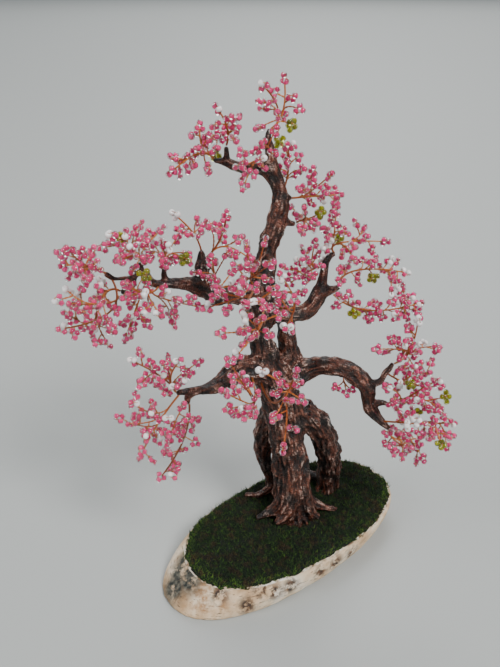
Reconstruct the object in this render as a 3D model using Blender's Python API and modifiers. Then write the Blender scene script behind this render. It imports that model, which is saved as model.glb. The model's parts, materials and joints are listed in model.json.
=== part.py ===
"""Cherry blossom bonsai, hand-made of copper wire and glass seed beads.

A sculpted trunk stands on an oval birch slice with a mat of moss.  Sprays of thin copper
wire leave its limb tips and carry blooms, each a small loop of three beads.
All sizes below are in millimetres; the origin is the middle of the slice's underside,
+X runs to the right seen from the front, -Y towards the front and +Z up.
"""
import math
import random

import bmesh
import bpy
import numpy as np
from mathutils import Vector
from mathutils.bvhtree import BVHTree

MM = 0.001
SEED = 11

# Birch slice and moss
SLICE_ANGLE = math.radians(37)
SLICE_LEAN = (10.0, 0.5)
SLICE_POWER = 2.3
SLICE_SIDES = 28

# Outline of the slice from its underside up: height, half length, half width, share of its lean
SLICE_SECTIONS = [(0.0, 60.5, 28.5, 0.0), (1.6, 61.7, 30.1, 0.1), (6.0, 61.3, 31.5, 0.5),
                  (10.2, 59.6, 31.4, 0.95), (11.0, 58.4, 30.4, 1.0)]
SLICE_TOP = SLICE_SECTIONS[-1][0]
MOSS_HALF = (57.0, 29.0)
MOSS_TOP = 13.8
MOSS_EDGE = 1.1
GAP = 0.3

# Holes in the moss for the trunk's feet: x, y and radius
FOOT_HOLES = {"stem": (9.5, 7.5, 12.0), "right_leg": (27, 26, 7.6), "back_leg": (-1, 24, 4.6)}
HOLE_SIDES = 16
HOLE_DEPTH = 20.0

# Beads, blooms and wire
BEAD_WIDTH = 2.4
LOOP_RADIUS = 1.5
LOOP_NECK = 0.9
BLOOM_RADIUS = LOOP_RADIUS + BEAD_WIDTH / 2
BEAD_REACH = BLOOM_RADIUS - 0.25
BEAD_HALF_HEIGHT = 0.36 * BEAD_WIDTH
LOOP_HALF_HEIGHT = 0.5
VALLEY_REACH = 1.05
WIRE_RADIUS = 0.55
SUNK_RADII = (0.24, 0.27, 0.21, 0.3, 0.18, 0.33)
SEGMENT = 11.0
FLAT_ANGLES = (2.0, 1.0, 0.3, 3.0)
STALK_LENGTH = (2.6, 4.2)
STALK_ANGLE = math.radians(55)
BLOOM_STEP = 6.1
BLOOM_STRAY = (0.85, 1.2)
BLOOM_REACH = 15.0
BARE_ROOT = 2.0
GOLDEN_ANGLE = math.radians(137.5)

# Room that wires and blooms keep from the trunk, from other sprays and from their own
TRUNK = -1
WIRE_BODY = 0.75
WIRE_GAP = 0.6
BLOOM_GAP = 0.5
TRUNK_GAP = 1.0
OWN_GAP = 0.2
OWN_OVERLAP = 0.2
ROOT_REACH = 5.0
START_REACH = 4.0

# How a wire's way is looked for: its places tested, and how far each new try strays
WIRE_PLACES = np.linspace(0, 1, 24)
WIRE_TRIES = 90
TIP_STRAY = 0.06
BOW = 0.05
BOW_STRAY = 0.008
FIRST_PULL = 0.45
TIP_PULL = 0.6
SIDE_TRIES = 9

# Where a twig may leave a wire, as parts of its length, and what makes a place a bad one
FORKS = (0.2, 0.35, 0.5, 0.65, 0.8)
WAY_COST = 0.5
TURN_COST = 9
STRAIGHT_ENOUGH = 0.35

# Seat of a main wire on its limb: how far along the wire it is looked for
SEAT_SEARCH = 6.0
SEAT_STEP = 0.1

# Trunk mesh
CURVE_STEP = 3.0
SPHERE_STEP = 1.2
TRUNK_VOXEL = 0.8
TRUNK_SMOOTHING = 0.5
TRUNK_SMOOTH_ROUNDS = 3
TRUNK_FACES = 2400
WELD = 1e-7
CUT_ROOM = 0.1

# Limbs, roots and root strands: centre line x, y, z and radius at each point
LIMBS = {
    "stem": [(10, 8, 9, 10.5), (9.5, 7.5, 14, 9.6), (7, 8, 24, 8.4), (6, 8, 34, 8.2), (5, 9, 51, 8.0),
             (3, 10, 67, 8.6), (0, 11, 82, 9.0), (-6, 10, 98, 6.8), (-8.7, 9, 111, 4.9),
             (-8, 10, 122, 6.0), (-7, 12, 132, 6.0), (-7.2, 14, 140, 4.8), (-6, 16, 147, 4.3),
             (-3.6, 17, 155, 4.3), (-1.7, 18, 162, 4.1), (-1, 19, 169, 3.6), (-2.3, 19, 176, 3.0),
             (-4.7, 19, 182, 2.5), (-5.2, 19, 188, 2.0), (-6.1, 19, 193, 1.4), (-5.3, 20, 196, 1.0)],
    "second_stem": [(1.5, 14, 83, 6.8), (4.4, 16, 96.5, 5.4), (3, 16, 108, 4.4), (1.7, 15, 117, 4.0),
                    (-2, 13, 126.5, 4.2)],
    "back_leg": [(-1.5, 14, 73, 5.5), (-6, 20, 57, 4.8), (-7, 23, 42, 4.4), (-5, 24, 30, 3.6),
                 (-2.5, 24, 20, 3.0), (-1, 24, 9, 3.4)],
    "right_leg": [(10, 11, 73, 6.0), (19, 16, 60, 6.4), (24.5, 20, 44, 6.3), (26.6, 24, 30, 5.8),
                  (27, 26, 18, 5.6), (27, 26, 9, 6.4)],
    "front_left_root": [(5, 3.5, 40, 3.6), (3, 2, 28, 3.8), (0, 3, 21, 3.4), (-5, 3, 17.4, 2.3),
                        (-10, 1.5, 15.6, 1.3)],
    "front_root": [(8, 3.5, 56, 3.8), (7.5, 2, 40, 3.8), (7, 0.5, 26, 3.8), (4, -0.5, 19, 3.0),
                   (-1, -2.4, 15.9, 1.6)],
    "front_right_root": [(11.5, 6, 50, 3.6), (12, 4, 34, 3.6), (14.5, 3, 23, 3.2), (17, 3, 18, 2.4),
                         (20.5, 2.5, 15.7, 1.4)],
    "right_root": [(13, 8, 30, 3.4), (17, 9, 20, 3.0), (23, 8.5, 16.6, 2.0), (30, 8.5, 15.3, 1.1)],
    "left_root": [(-1, 23, 17, 2.2), (-8, 18.5, 16, 1.6), (-15.5, 19, 15.2, 1.0)],
    "back_root": [(24, 28, 18, 3.0), (20, 33, 16.2, 2.0), (16, 38, 15.2, 1.0)],
    "lower_left": [(-7, 8, 94, 6.6), (-16, 5, 98, 5.6), (-21.6, 1, 96, 4.7), (-26, -3, 95, 3.6),
                   (-31, -7, 95, 2.4), (-35.7, -11, 96.4, 1.9), (-39.5, -14, 98, 1.5),
                   (-42.6, -16, 98.6, 1.1)],
    "lower_left_hook": [(-37, -12, 96.4, 1.6), (-39, -13, 94, 1.3), (-38, -14, 92.2, 1.1)],
    "lower_right": [(5, 13, 89, 6.7), (12, 12, 93, 4.9), (18, 10, 96, 4.2), (23.6, 8, 97, 4.4),
                    (29.6, 6, 96, 4.6), (34.7, 4, 93, 4.3), (38.2, 2, 88.5, 3.5), (38.5, 1, 83.5, 2.8),
                    (40.5, 0, 79, 3.0), (43.7, -1, 75.4, 2.0), (48.3, -2, 71.3, 1.2)],
    "lower_right_rise": [(39, 3, 90.5, 2.2), (43.3, 3, 92.5, 1.6), (45, 4, 95.5, 1.4), (47, 4, 98, 1.3),
                         (48.5, 5, 100.4, 1.0)],
    "lower_right_stub": [(40, 1, 82, 2.2), (43.6, 0, 83.4, 1.5), (46.7, 0, 83, 1.1)],
    "mid_right": [(-3.7, 11, 122, 5.1), (3.2, 12, 120, 3.7), (9.4, 15, 119.2, 3.3),
                  (13.3, 17, 121, 3.5), (16, 19, 124.7, 3.7), (18, 21, 129.4, 2.8),
                  (18.8, 23, 134.2, 2.0), (19.5, 24, 139.3, 1.7), (21.2, 25, 141.7, 1.4),
                  (23.3, 25, 143, 1.1)],
    "mid_right_stub": [(17, 19, 127.5, 3.0), (21, 21, 127.5, 2.4), (24, 22, 127.8, 1.5),
                       (25.5, 22, 129, 1.1)],
    "mid_left": [(-7, 11, 127.5, 5.9), (-14, 8, 130.7, 4.3), (-20, 4, 132.6, 3.9), (-26, 1, 134, 4.0),
                 (-31, -2, 138.4, 3.8), (-35.7, -4, 141.5, 3.1), (-40, -6, 142.6, 2.4),
                 (-44.6, -8, 143.7, 1.9), (-48.7, -9, 143.7, 1.6), (-51.3, -9, 145, 1.5),
                 (-52.1, -10, 148, 1.4), (-54, -11, 149.5, 1.4), (-56.3, -12, 148.7, 1.4),
                 (-57.5, -12, 145.5, 1.4), (-59.2, -13, 143, 1.4), (-62, -14, 142.6, 1.0)],
    "mid_left_stub": [(-31.6, -2, 140, 3.6), (-31.8, -1, 146, 3.0), (-32, 0, 150.4, 1.8),
                      (-32, 0, 154, 1.1)],
    "mid_left_spur": [(-31.5, -1, 145.3, 2.6), (-29.8, -1, 147.2, 1.5), (-28, -1, 147.4, 1.0)],
    "mid_left_rise": [(-53.4, -11, 149, 1.2), (-54, -11, 151.6, 1.1), (-54.4, -11, 153.6, 0.9)],
    "mid_left_far": [(-57.2, -12, 147, 1.3), (-60.2, -14, 148, 1.1), (-63.5, -16, 149, 1.0),
                     (-66, -18, 152, 0.9)],
    "mid_left_knob": [(-45.3, -8, 144.5, 1.4), (-46, -8, 147.4, 1.2), (-46, -8, 149.7, 1.0)],
    "top_left": [(-3.5, 19, 177, 2.8), (-6.7, 18.5, 180, 2.5), (-10.6, 18, 181, 2.2),
                 (-15, 17, 181.5, 2.1), (-18.4, 16, 182.7, 2.0), (-22.3, 15, 184.5, 1.7),
                 (-25, 14.5, 185.2, 1.3), (-27.2, 14, 185.5, 1.0)],
    "top_left_stub": [(-22, 15, 185, 1.5), (-22, 15, 188, 1.2), (-22, 15, 190.6, 0.9)],
    "upper_knob": [(-1, 19, 169.4, 3.2), (2.4, 21, 168.4, 1.7), (3.8, 21.5, 168, 1.0)],
    "upper_spur": [(-0.4, 18, 160, 2.8), (3, 20, 158.2, 1.5), (5.5, 21, 157.6, 0.9)],
}

# Sprays: where the wire leaves the limb, the twig tips, and the tips that carry leaf beads
SPRAYS = {
    "leader_tip": ((-5, 20, 196), [(0, 22, 213), (-7, 16, 212), (-8, 26, 205), (5, 18, 204),
                                   (-9, 14, 198)], [(2, 20, 198)]),
    "leader_front": ((-6, 16, 190), [(-8, 8, 193), (-4, 12, 196)], []),
    "leader_right": ((1, 24, 172), [(2, 22, 188), (6, 28, 183), (7, 21, 180), (-1, 26, 179)],
                     [(-1, 27, 189)]),
    "top_left_tip": ((-27, 14, 186), [(-42, 9, 183), (-42, 17, 185), (-32, 15, 197), (-24, 23, 192),
                                      (-29, 6, 185)], [(-27, 20, 187)]),
    "top_left_stub": ((-22, 15, 191), [(-25, 16, 203), (-18, 18, 200), (-26, 10, 199), (-19, 8, 195)],
                      []),
    "top_left_base": ((-9, 16, 183), [(-15, 0, 187), (-15, 4, 179), (-10, 6, 190)], []),
    "upper_right": ((4, 22, 168), [(12, 25, 178), (18, 18, 177), (22, 23, 169), (17, 30, 165),
                                   (8, 13, 174)], []),
    "upper_spur": ((6, 21, 158), [(4, 26, 163), (9, 16, 165), (14, 28, 156), (8, 13, 159)],
                   [(14, 23, 162)]),
    "mid_right_up": ((23, 25, 143), [(23, 29, 162), (17, 20, 158), (26, 20, 154), (35, 28, 152),
                                     (43, 23, 149), (30, 17, 144)], [(25, 31, 147)]),
    "mid_right_back": ((19, 24, 138), [(14, 20, 149), (10, 29, 142), (2, 21, 138), (5, 28, 128),
                                       (13, 14, 138)], []),
    "mid_right_tip": ((25, 22, 129), [(25, 16, 139), (36, 28, 138), (48, 32, 132), (53, 23, 135),
                                      (47, 16, 130)], [(39, 21, 135)]),
    "mid_right_low": ((23, 20, 126), [(25, 11, 129), (39, 26, 115), (45, 19, 116), (56, 27, 114),
                                      (60, 21, 121), (56, 32, 123)], [(33, 16, 121)]),
    "mid_left_tip": ((-62, -14, 143), [(-71, -5, 137), (-75, -19, 137), (-74, -14, 126),
                                       (-68, -19, 124), (-65, -27, 138)], []),
    "mid_left_far": ((-66, -18, 152), [(-77, -22, 162), (-82, -13, 153), (-68, -28, 164),
                                       (-69, -33, 157)], []),
    "mid_left_low": ((-64, -17, 149), [(-79, -7, 145), (-79, -23, 147), (-81, -19, 132),
                                       (-74, -30, 145)], [(-80, -13, 138)]),
    "mid_left_rise": ((-54, -11, 154), [(-65, -6, 159), (-57, -18, 166), (-55, -3, 160),
                                        (-46, -12, 166), (-58, -24, 160)], [(-60, -11, 162)]),
    "mid_left_knob": ((-46, -8, 150), [(-52, 0, 154), (-43, -15, 161), (-41, -5, 160), (-38, 2, 152)],
                      [(-38, -15, 157)]),
    "mid_left_under": ((-48, -10, 143), [(-57, -25, 150), (-40, -20, 142), (-33, -15, 137),
                                         (-44, -10, 131), (-47, -23, 139)], [(-52, -21, 154)]),
    "mid_left_hang": ((-53, -10, 144), [(-59, -9, 135), (-53, -15, 130), (-62, -11, 122)], []),
    "stub_left": ((-32, 0, 154), [(-41, 2, 167), (-34, 8, 163), (-38, -5, 161)], []),
    "stub_right": ((-30, 0, 151), [(-29, 7, 161), (-22, 1, 167), (-24, -8, 165), (-17, 8, 156),
                                   (-14, -2, 152)], []),
    "stub_low": ((-28, -1, 147), [(-32, -15, 151), (-27, -18, 157), (-20, -7, 154), (-20, -18, 152),
                                  (-25, -24, 149), (-17, -14, 147)], []),
    "front_high": ((-8, 6, 141), [(-14, -30, 166), (-8, -20, 164), (-17, -38, 162), (-7, -42, 165),
                                  (-15, -46, 161), (-8, -30, 155)], []),
    "front_mid": ((-11, 5, 135), [(-22, -38, 153), (-27, -32, 145), (-14, -48, 155), (-6, -42, 156)],
                  []),
    "front_low": ((-8, 4, 129), [(-12, -46, 149), (-5, -42, 148), (-22, -40, 139), (-17, -46, 134),
                                 (-12, -52, 144)], []),
    "front_right": ((-2, 9, 132), [(-1, -18, 150), (3, -25, 144), (-2, -34, 149), (0, -37, 140)], []),
    "lower_left_rise": ((-43, -16, 99), [(-59, -14, 112), (-55, -23, 108), (-46, -11, 111),
                                         (-40, -26, 119), (-34, -18, 113), (-53, -9, 101)], []),
    "lower_left_fall": ((-42, -15, 97), [(-66, -16, 86), (-58, -28, 101), (-59, -18, 69),
                                         (-55, -11, 74), (-60, -24, 89)], []),
    "lower_left_hook": ((-38, -14, 92), [(-40, -26, 98), (-36, -11, 82), (-42, -19, 80), (-47, -23, 84),
                                         (-51, -17, 57), (-50, -8, 63)], []),
    "lower_right_rise": ((49, 5, 100), [(41, 0, 110), (51, 13, 107), (57, 5, 120), (68, 11, 105),
                                        (51, -4, 116), (51, -6, 106)], []),
    "lower_right_mid": ((46, 4, 96), [(59, 2, 101), (66, 10, 97), (67, 1, 93), (71, 9, 86)],
                        [(54, -7, 97)]),
    "lower_right_stub": ((47, 0, 83), [(44, -10, 98), (52, -5, 91), (59, -10, 98), (64, 11, 80),
                                       (66, -8, 87)], [(71, 0, 86)]),
    "lower_right_tip": ((48, -2, 71), [(46, -12, 75), (52, -2, 59), (55, -14, 70), (64, -4, 57),
                                       (68, 7, 60)], []),
    "lower_right_far": ((45, -2, 75), [(52, 5, 77), (52, -18, 84), (65, -9, 80), (77, 2, 71),
                                       (74, -4, 64)], [(68, -14, 73), (62, 0, 79)]),
    "arch_under": ((28, 7, 92), [(25, 4, 89), (32, 10, 84)], []),
    "centre_low": ((-12, 0, 96), [(-20, -36, 124), (-21, -50, 121), (-20, -44, 110), (-13, -55, 118),
                                  (-15, -30, 114)], []),
    "centre_low_right": ((-8, 2, 92), [(-8, -42, 124), (-3, -40, 119), (3, -46, 126), (5, -42, 113),
                                       (-4, -53, 113), (-1, -54, 101)], []),
}


def slice_point(angle, half, lean, height):
    """A point of the slice's rounded oval outline, in the part's frame."""
    c = math.cos(angle)
    s = math.sin(angle)
    along = lean[0] + half[0] * math.copysign(abs(c) ** (2 / SLICE_POWER), c)
    across = lean[1] + half[1] * math.copysign(abs(s) ** (2 / SLICE_POWER), s)
    x = along * math.cos(SLICE_ANGLE) - across * math.sin(SLICE_ANGLE)
    y = along * math.sin(SLICE_ANGLE) + across * math.cos(SLICE_ANGLE)
    return Vector((x, y, height))


def smooth_line(points, step):
    """Catmull-Rom curve through points of any width, with a point about every step."""
    pts = [np.array(p, float) for p in points]
    pts = [2 * pts[0] - pts[1]] + pts + [2 * pts[-1] - pts[-2]]
    line = []
    for a, b, c, d in zip(pts, pts[1:], pts[2:], pts[3:]):
        count = max(1, round(np.linalg.norm((c - b)[:3]) / step))
        for i in range(count):
            t = i / count
            line.append(0.5 * (2 * b + (c - a) * t + (2 * a - 5 * b + 4 * c - d) * t ** 2
                               + (3 * b - a - 3 * c + d) * t ** 3))
    line.append(pts[-2])
    return np.array(line)


class Space:
    """Spheres that stand for everything placed so far, each with its owner's name."""

    def __init__(self):
        self.places = np.zeros((0, 3))
        self.radii = np.zeros(0)
        self.owners = np.zeros(0, int)

    def add(self, places, radii, owner):
        places = np.atleast_2d(places)
        self.places = np.vstack([self.places, places])
        self.radii = np.append(self.radii, np.broadcast_to(radii, len(places)))
        self.owners = np.append(self.owners, np.full(len(places), owner))

    def room(self, places, radius, chosen):
        """Smallest free distance from spheres at places to the chosen spheres."""
        if not chosen.any():
            return math.inf
        away = np.linalg.norm(np.atleast_2d(places)[:, None] - self.places[chosen][None], axis=2)
        return float((away - self.radii[chosen][None]).min()) - radius


class Wire:
    """One twisted copper wire: a curve from its start past a bend to its tip."""

    def __init__(self, start, bend, tip, parent, way):
        self.start = start
        self.bend = bend
        self.tip = tip
        self.parent = parent
        self.way = way
        self.load = 1

    def at(self, t):
        t = np.atleast_1d(t)[:, None]
        return (1 - t) ** 2 * self.start + 2 * t * (1 - t) * self.bend + t ** 2 * self.tip

    def along(self, t):
        heading = 2 * (1 - t) * (self.bend - self.start) + 2 * t * (self.tip - self.bend)
        return heading / np.linalg.norm(heading)

    def length(self):
        line = self.at(np.linspace(0, 1, 9))
        return float(np.linalg.norm(np.diff(line, axis=0), axis=1).sum())

    def bloom_middle(self):
        return self.tip + self.along(1.0) * LOOP_NECK


class Bloom:
    """A loop of beads: its middle, the direction its stalk comes from and the loop's axis."""

    def __init__(self, root, middle, heading, axis, leaf, wire):
        self.root = root
        self.middle = middle
        self.heading = heading
        self.axis = axis
        self.leaf = leaf
        self.wire = wire


def unit(v):
    return v / max(np.linalg.norm(v), 1e-9)


def random_unit(rng):
    while True:
        v = np.array([rng.uniform(-1, 1) for _ in range(3)])
        if 0.1 < np.linalg.norm(v) < 1:
            return unit(v)


def across(direction, angle):
    """Unit vector at right angles to a direction, turned about it by an angle."""
    side = np.cross(direction, (0, 0, 1) if abs(direction[2]) < 0.9 else (1, 0, 0))
    side = unit(side)
    return side * math.cos(angle) + np.cross(direction, side) * math.sin(angle)


def trunk_space():
    space = Space()
    for points in LIMBS.values():
        line = smooth_line(points, SPHERE_STEP)
        space.add(line[:, :3], line[:, 3], TRUNK)
    return space


def outward(space, root):
    """Direction away from the trunk at a root."""
    trunk = space.owners == TRUNK
    away = root - space.places[trunk]
    distance = np.linalg.norm(away, axis=1) + 0.5
    return unit((away / distance[:, None] ** 4).sum(axis=0))


def wire_is_clear(space, line, owner, root, start):
    """Whether a wire keeps off the trunk, the other sprays and, past its start, its own spray."""
    trunk = space.owners == TRUNK
    own = space.owners == owner
    if space.room(line, WIRE_BODY, ~trunk & ~own) < WIRE_GAP:
        return False
    past = line[np.linalg.norm(line - start, axis=1) > START_REACH]
    if len(past) and space.room(past, WIRE_BODY, own) < OWN_GAP:
        return False
    far = line[np.linalg.norm(line - root, axis=1) > ROOT_REACH]
    return len(far) == 0 or space.room(far, WIRE_BODY, trunk) >= TRUNK_GAP


def bloom_is_clear(space, middle, owner):
    """Whether a bloom fits at a place, off the trunk, the other sprays and its own spray."""
    trunk = space.owners == TRUNK
    own = space.owners == owner
    if space.room(middle, BLOOM_RADIUS, trunk) < TRUNK_GAP:
        return False
    if space.room(middle, BLOOM_RADIUS, ~trunk & ~own) < BLOOM_GAP:
        return False
    return space.room(middle, BLOOM_RADIUS, own) >= -OWN_OVERLAP


def best_start(wires, tip):
    """Where a new twig leaves the wires that are there: near its tip, but low on its spray."""
    best = None
    for wire in wires:
        length = wire.length()
        for t in FORKS:
            place = wire.at(t)[0]
            way = wire.way + t * length
            turn = float(np.dot(unit(tip - place), wire.along(t)))
            sharp = max(0.0, STRAIGHT_ENOUGH - turn)
            cost = np.linalg.norm(tip - place) + WAY_COST * way + TURN_COST * sharp
            if best is None or cost < best[0]:
                best = (cost, wire, t, place, way)
    return best[1:]


def grow_wire(space, rng, wires, root, heading, target, owner):
    """Lay one wire to a tip, bent clear of everything; None where no way is clear."""
    for attempt in range(WIRE_TRIES):
        tip = target + random_unit(rng) * TIP_STRAY * attempt
        if wires:
            parent, t, start, way = best_start(wires, tip)
            first = parent.along(t)
        else:
            parent, start, way = None, root, 0.0
            first = unit(heading + TIP_PULL * unit(tip - root))
        reach = np.linalg.norm(tip - start)
        bow = random_unit(rng) * reach * (BOW + BOW_STRAY * attempt)
        wire = Wire(start, start + first * reach * FIRST_PULL + bow, tip, parent, way)
        if not bloom_is_clear(space, wire.bloom_middle(), owner):
            continue
        if wire_is_clear(space, wire.at(WIRE_PLACES), owner, root, start):
            return wire
    return None


def grow_spray(space, index, root, tips, leaves):
    """Wires and blooms of one spray, in the order they are bent on."""
    rng = random.Random(SEED * 1000 + index)
    root = np.array(root, float)
    heading = outward(space, root)
    targets = sorted((np.array(t, float) for t in tips), key=lambda t: -np.linalg.norm(t - root))
    marked = [(t, False) for t in targets] + [(np.array(t, float), True) for t in leaves]
    wires = []
    blooms = []
    for target, leaf in marked:
        wire = grow_wire(space, rng, wires, root, heading, target, index)
        if wire is None:
            continue
        wires.append(wire)
        carrier = wire.parent
        while carrier:
            carrier.load += 1
            carrier = carrier.parent
        heading_out = wire.along(1.0)
        axis = across(heading_out, rng.uniform(0, math.tau))
        blooms.append(Bloom(None, wire.bloom_middle(), heading_out, axis, leaf, wire))
        space.add(wire.at(WIRE_PLACES), WIRE_BODY, index)
        space.add(wire.bloom_middle(), BLOOM_RADIUS, index)
    for wire in wires:
        add_side_blooms(space, rng, wire, index, blooms)
    return wires, blooms


def add_side_blooms(space, rng, wire, owner, blooms):
    """Blooms on stalks down a wire from its tip, each turned on from the last by the golden angle."""
    length = wire.length()
    turn = rng.uniform(0, math.tau)
    back = BLOOM_STEP
    while back < min(length - BARE_ROOT, BLOOM_REACH):
        t = 1 - back / length
        root = wire.at(t)[0]
        along = wire.along(t)
        for _ in range(SIDE_TRIES):
            turn += GOLDEN_ANGLE
            heading = unit(along * math.cos(STALK_ANGLE) + across(along, turn) * math.sin(STALK_ANGLE))
            stalk = rng.uniform(*STALK_LENGTH)
            middle = root + heading * (stalk + LOOP_NECK)
            if bloom_is_clear(space, middle, owner):
                axis = across(heading, rng.uniform(0, math.tau))
                blooms.append(Bloom(root, middle, heading, axis, False, wire))
                space.add(middle, BLOOM_RADIUS, owner)
                break
        back += BLOOM_STEP * rng.uniform(*BLOOM_STRAY)


def grow_all():
    """Every spray of the tree as name, wires and blooms."""
    space = trunk_space()
    grown = {}
    for index, (name, (root, tips, leaves)) in enumerate(SPRAYS.items()):
        grown[name] = grow_spray(space, index, root, tips, leaves)
    return grown


def material(name, colour, roughness, metallic=0.0):
    made = bpy.data.materials.new(name)
    made.use_nodes = True
    shader = made.node_tree.nodes["Principled BSDF"]
    shader.inputs["Base Color"].default_value = (*colour, 1.0)
    shader.inputs["Roughness"].default_value = roughness
    shader.inputs["Metallic"].default_value = metallic
    return made


def add_object(name, mesh, collection, look=None):
    made = bpy.data.objects.new(name, mesh)
    collection.objects.link(made)
    if look:
        mesh.materials.clear()
        mesh.materials.append(look)
    return made


def mesh_from(bm, name):
    """Mesh in metres from a bmesh in millimetres, its faces pointing out."""
    bmesh.ops.recalc_face_normals(bm, faces=bm.faces)
    if bm.calc_volume(signed=True) < 0:
        bmesh.ops.reverse_faces(bm, faces=bm.faces)
    bmesh.ops.scale(bm, vec=(MM, MM, MM), verts=bm.verts)
    mesh = bpy.data.meshes.new(name)
    bm.to_mesh(mesh)
    bm.free()
    return mesh


def evaluated_mesh(made):
    """The object's mesh with its modifiers applied."""
    graph = bpy.context.evaluated_depsgraph_get()
    return bpy.data.meshes.new_from_object(made.evaluated_get(graph))


def remove_object(made):
    data = made.data
    bpy.data.objects.remove(made)
    if isinstance(data, bpy.types.Mesh):
        bpy.data.meshes.remove(data)
    elif isinstance(data, bpy.types.Curve):
        bpy.data.curves.remove(data)


def bridge(bm, low, high):
    """Faces between two rings of as many vertices."""
    count = len(low)
    for i in range(count):
        j = (i + 1) % count
        bm.faces.new((low[i], low[j], high[j], high[i]))


def loft(sections):
    """Closed solid through rings of points, one above the other."""
    bm = bmesh.new()
    rings = [[bm.verts.new(p) for p in section] for section in sections]
    for low, high in zip(rings, rings[1:]):
        bridge(bm, low, high)
    bm.faces.new(rings[0])
    bm.faces.new(rings[-1])
    return bm


def oval(half, lean, height):
    return [slice_point(math.tau * i / SLICE_SIDES, half, lean, height) for i in range(SLICE_SIDES)]


def make_slice(collection):
    """Birch slice, cut at a slant: its top face lies off to one side of its underside."""
    lean_x, lean_y = SLICE_LEAN
    sections = []
    for height, half_length, half_width, share in SLICE_SECTIONS:
        sections.append(oval((half_length, half_width), (share * lean_x, share * lean_y), height))
    mesh = mesh_from(loft(sections), "slice")
    return add_object("birch_slice", mesh, collection, material("birch bark", (0.56, 0.47, 0.36), 0.8))


def make_moss(collection, cutter_collection):
    """Moss mat lying on the slice, with plain holes that the trunk's feet stand in."""
    a, b = MOSS_HALF
    base = SLICE_TOP + GAP
    sections = [
        oval((a, b), SLICE_LEAN, base),
        oval((a, b), SLICE_LEAN, MOSS_TOP - MOSS_EDGE),
        oval((a - MOSS_EDGE, b - MOSS_EDGE), SLICE_LEAN, MOSS_TOP),
    ]
    moss = add_object("moss_mat", mesh_from(loft(sections), "moss"), collection,
                      material("moss", (0.035, 0.07, 0.015), 0.95))
    for name, (x, y, radius) in FOOT_HOLES.items():
        hole = bmesh.new()
        bmesh.ops.create_cone(hole, cap_ends=True, segments=HOLE_SIDES, radius1=radius, radius2=radius,
                              depth=HOLE_DEPTH)
        bmesh.ops.translate(hole, vec=(x, y, MOSS_TOP), verts=hole.verts)
        cutter = add_object(name + "_hole", mesh_from(hole, name + "_hole"), cutter_collection)
        cutter.hide_render = True
        cutter.display_type = "WIRE"
        cut = moss.modifiers.new(name, "BOOLEAN")
        cut.operation = "DIFFERENCE"
        cut.solver = "EXACT"
        cut.object = cutter
    return moss


def limb_curve(name, points, collection):
    """One limb as a round tapering curve with filled ends."""
    data = bpy.data.curves.new(name, "CURVE")
    data.dimensions = "3D"
    data.bevel_depth = MM
    data.bevel_resolution = 4
    data.use_fill_caps = True
    line = smooth_line(points, CURVE_STEP)
    spline = data.splines.new("POLY")
    spline.points.add(len(line) - 1)
    for knot, (x, y, z, radius) in zip(spline.points, line):
        knot.co = (x * MM, y * MM, z * MM, 1)
        knot.radius = radius
    made = bpy.data.objects.new(name, data)
    collection.objects.link(made)
    return made


def make_trunk(collection):
    """Roots, stems and limbs grown together in one solid that stands flat on the slice."""
    joined = bmesh.new()
    for name, points in LIMBS.items():
        curve = limb_curve(name, points, collection)
        bpy.context.view_layer.update()
        tube = evaluated_mesh(curve)
        joined.from_mesh(tube)
        bpy.data.meshes.remove(tube)
        remove_object(curve)
    bmesh.ops.remove_doubles(joined, verts=joined.verts, dist=WELD)
    mesh = bpy.data.meshes.new("trunk")
    joined.to_mesh(mesh)
    joined.free()
    raw = add_object("trunk_raw", mesh, collection)
    remesh = raw.modifiers.new("grow together", "REMESH")
    remesh.mode = "VOXEL"
    remesh.voxel_size = TRUNK_VOXEL * MM
    smooth = raw.modifiers.new("smooth", "SMOOTH")
    smooth.factor = TRUNK_SMOOTHING
    smooth.iterations = TRUNK_SMOOTH_ROUNDS
    bpy.context.view_layer.update()
    fine = evaluated_mesh(raw)
    remove_object(raw)
    bm = bmesh.new()
    bm.from_mesh(fine)
    bpy.data.meshes.remove(fine)
    cut_flat(bm, (SLICE_TOP + GAP) * MM)
    bmesh.ops.triangulate(bm, faces=bm.faces)
    count = len(bm.faces)
    mesh = bpy.data.meshes.new("trunk")
    bm.to_mesh(mesh)
    bm.free()
    trunk = add_object("trunk", mesh, collection)
    few = trunk.modifiers.new("fewer faces", "DECIMATE")
    few.ratio = TRUNK_FACES / count
    bpy.context.view_layer.update()
    light = evaluated_mesh(trunk)
    remove_object(trunk)
    bm = bmesh.new()
    bm.from_mesh(light)
    bpy.data.meshes.remove(light)
    cut_flat(bm, (SLICE_TOP + GAP + CUT_ROOM) * MM)
    bmesh.ops.triangulate(bm, faces=bm.faces)
    mesh = bpy.data.meshes.new("trunk")
    bm.to_mesh(mesh)
    bm.free()
    mesh.shade_smooth()
    return add_object("trunk", mesh, collection, material("painted trunk", (0.085, 0.042, 0.032), 0.55))


def cut_flat(bm, height):
    """Cut everything below a height away and close the cut with flat faces."""
    geometry = bm.verts[:] + bm.edges[:] + bm.faces[:]
    bmesh.ops.bisect_plane(bm, geom=geometry, dist=WELD, plane_co=(0, 0, height), plane_no=(0, 0, 1),
                           clear_inner=True)
    rim = [e for e in bm.edges if e.is_boundary]
    bmesh.ops.holes_fill(bm, edges=rim, sides=0)
    bmesh.ops.recalc_face_normals(bm, faces=bm.faces)


def ring_of_three(bm, place, axis, up, radius):
    """Three vertices round a wire, the first towards up."""
    side = np.cross(axis, up)
    ring = []
    for k in range(3):
        angle = math.tau * k / 3
        ring.append(bm.verts.new(place + radius * (up * math.cos(angle) + side * math.sin(angle))))
    return ring


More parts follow.
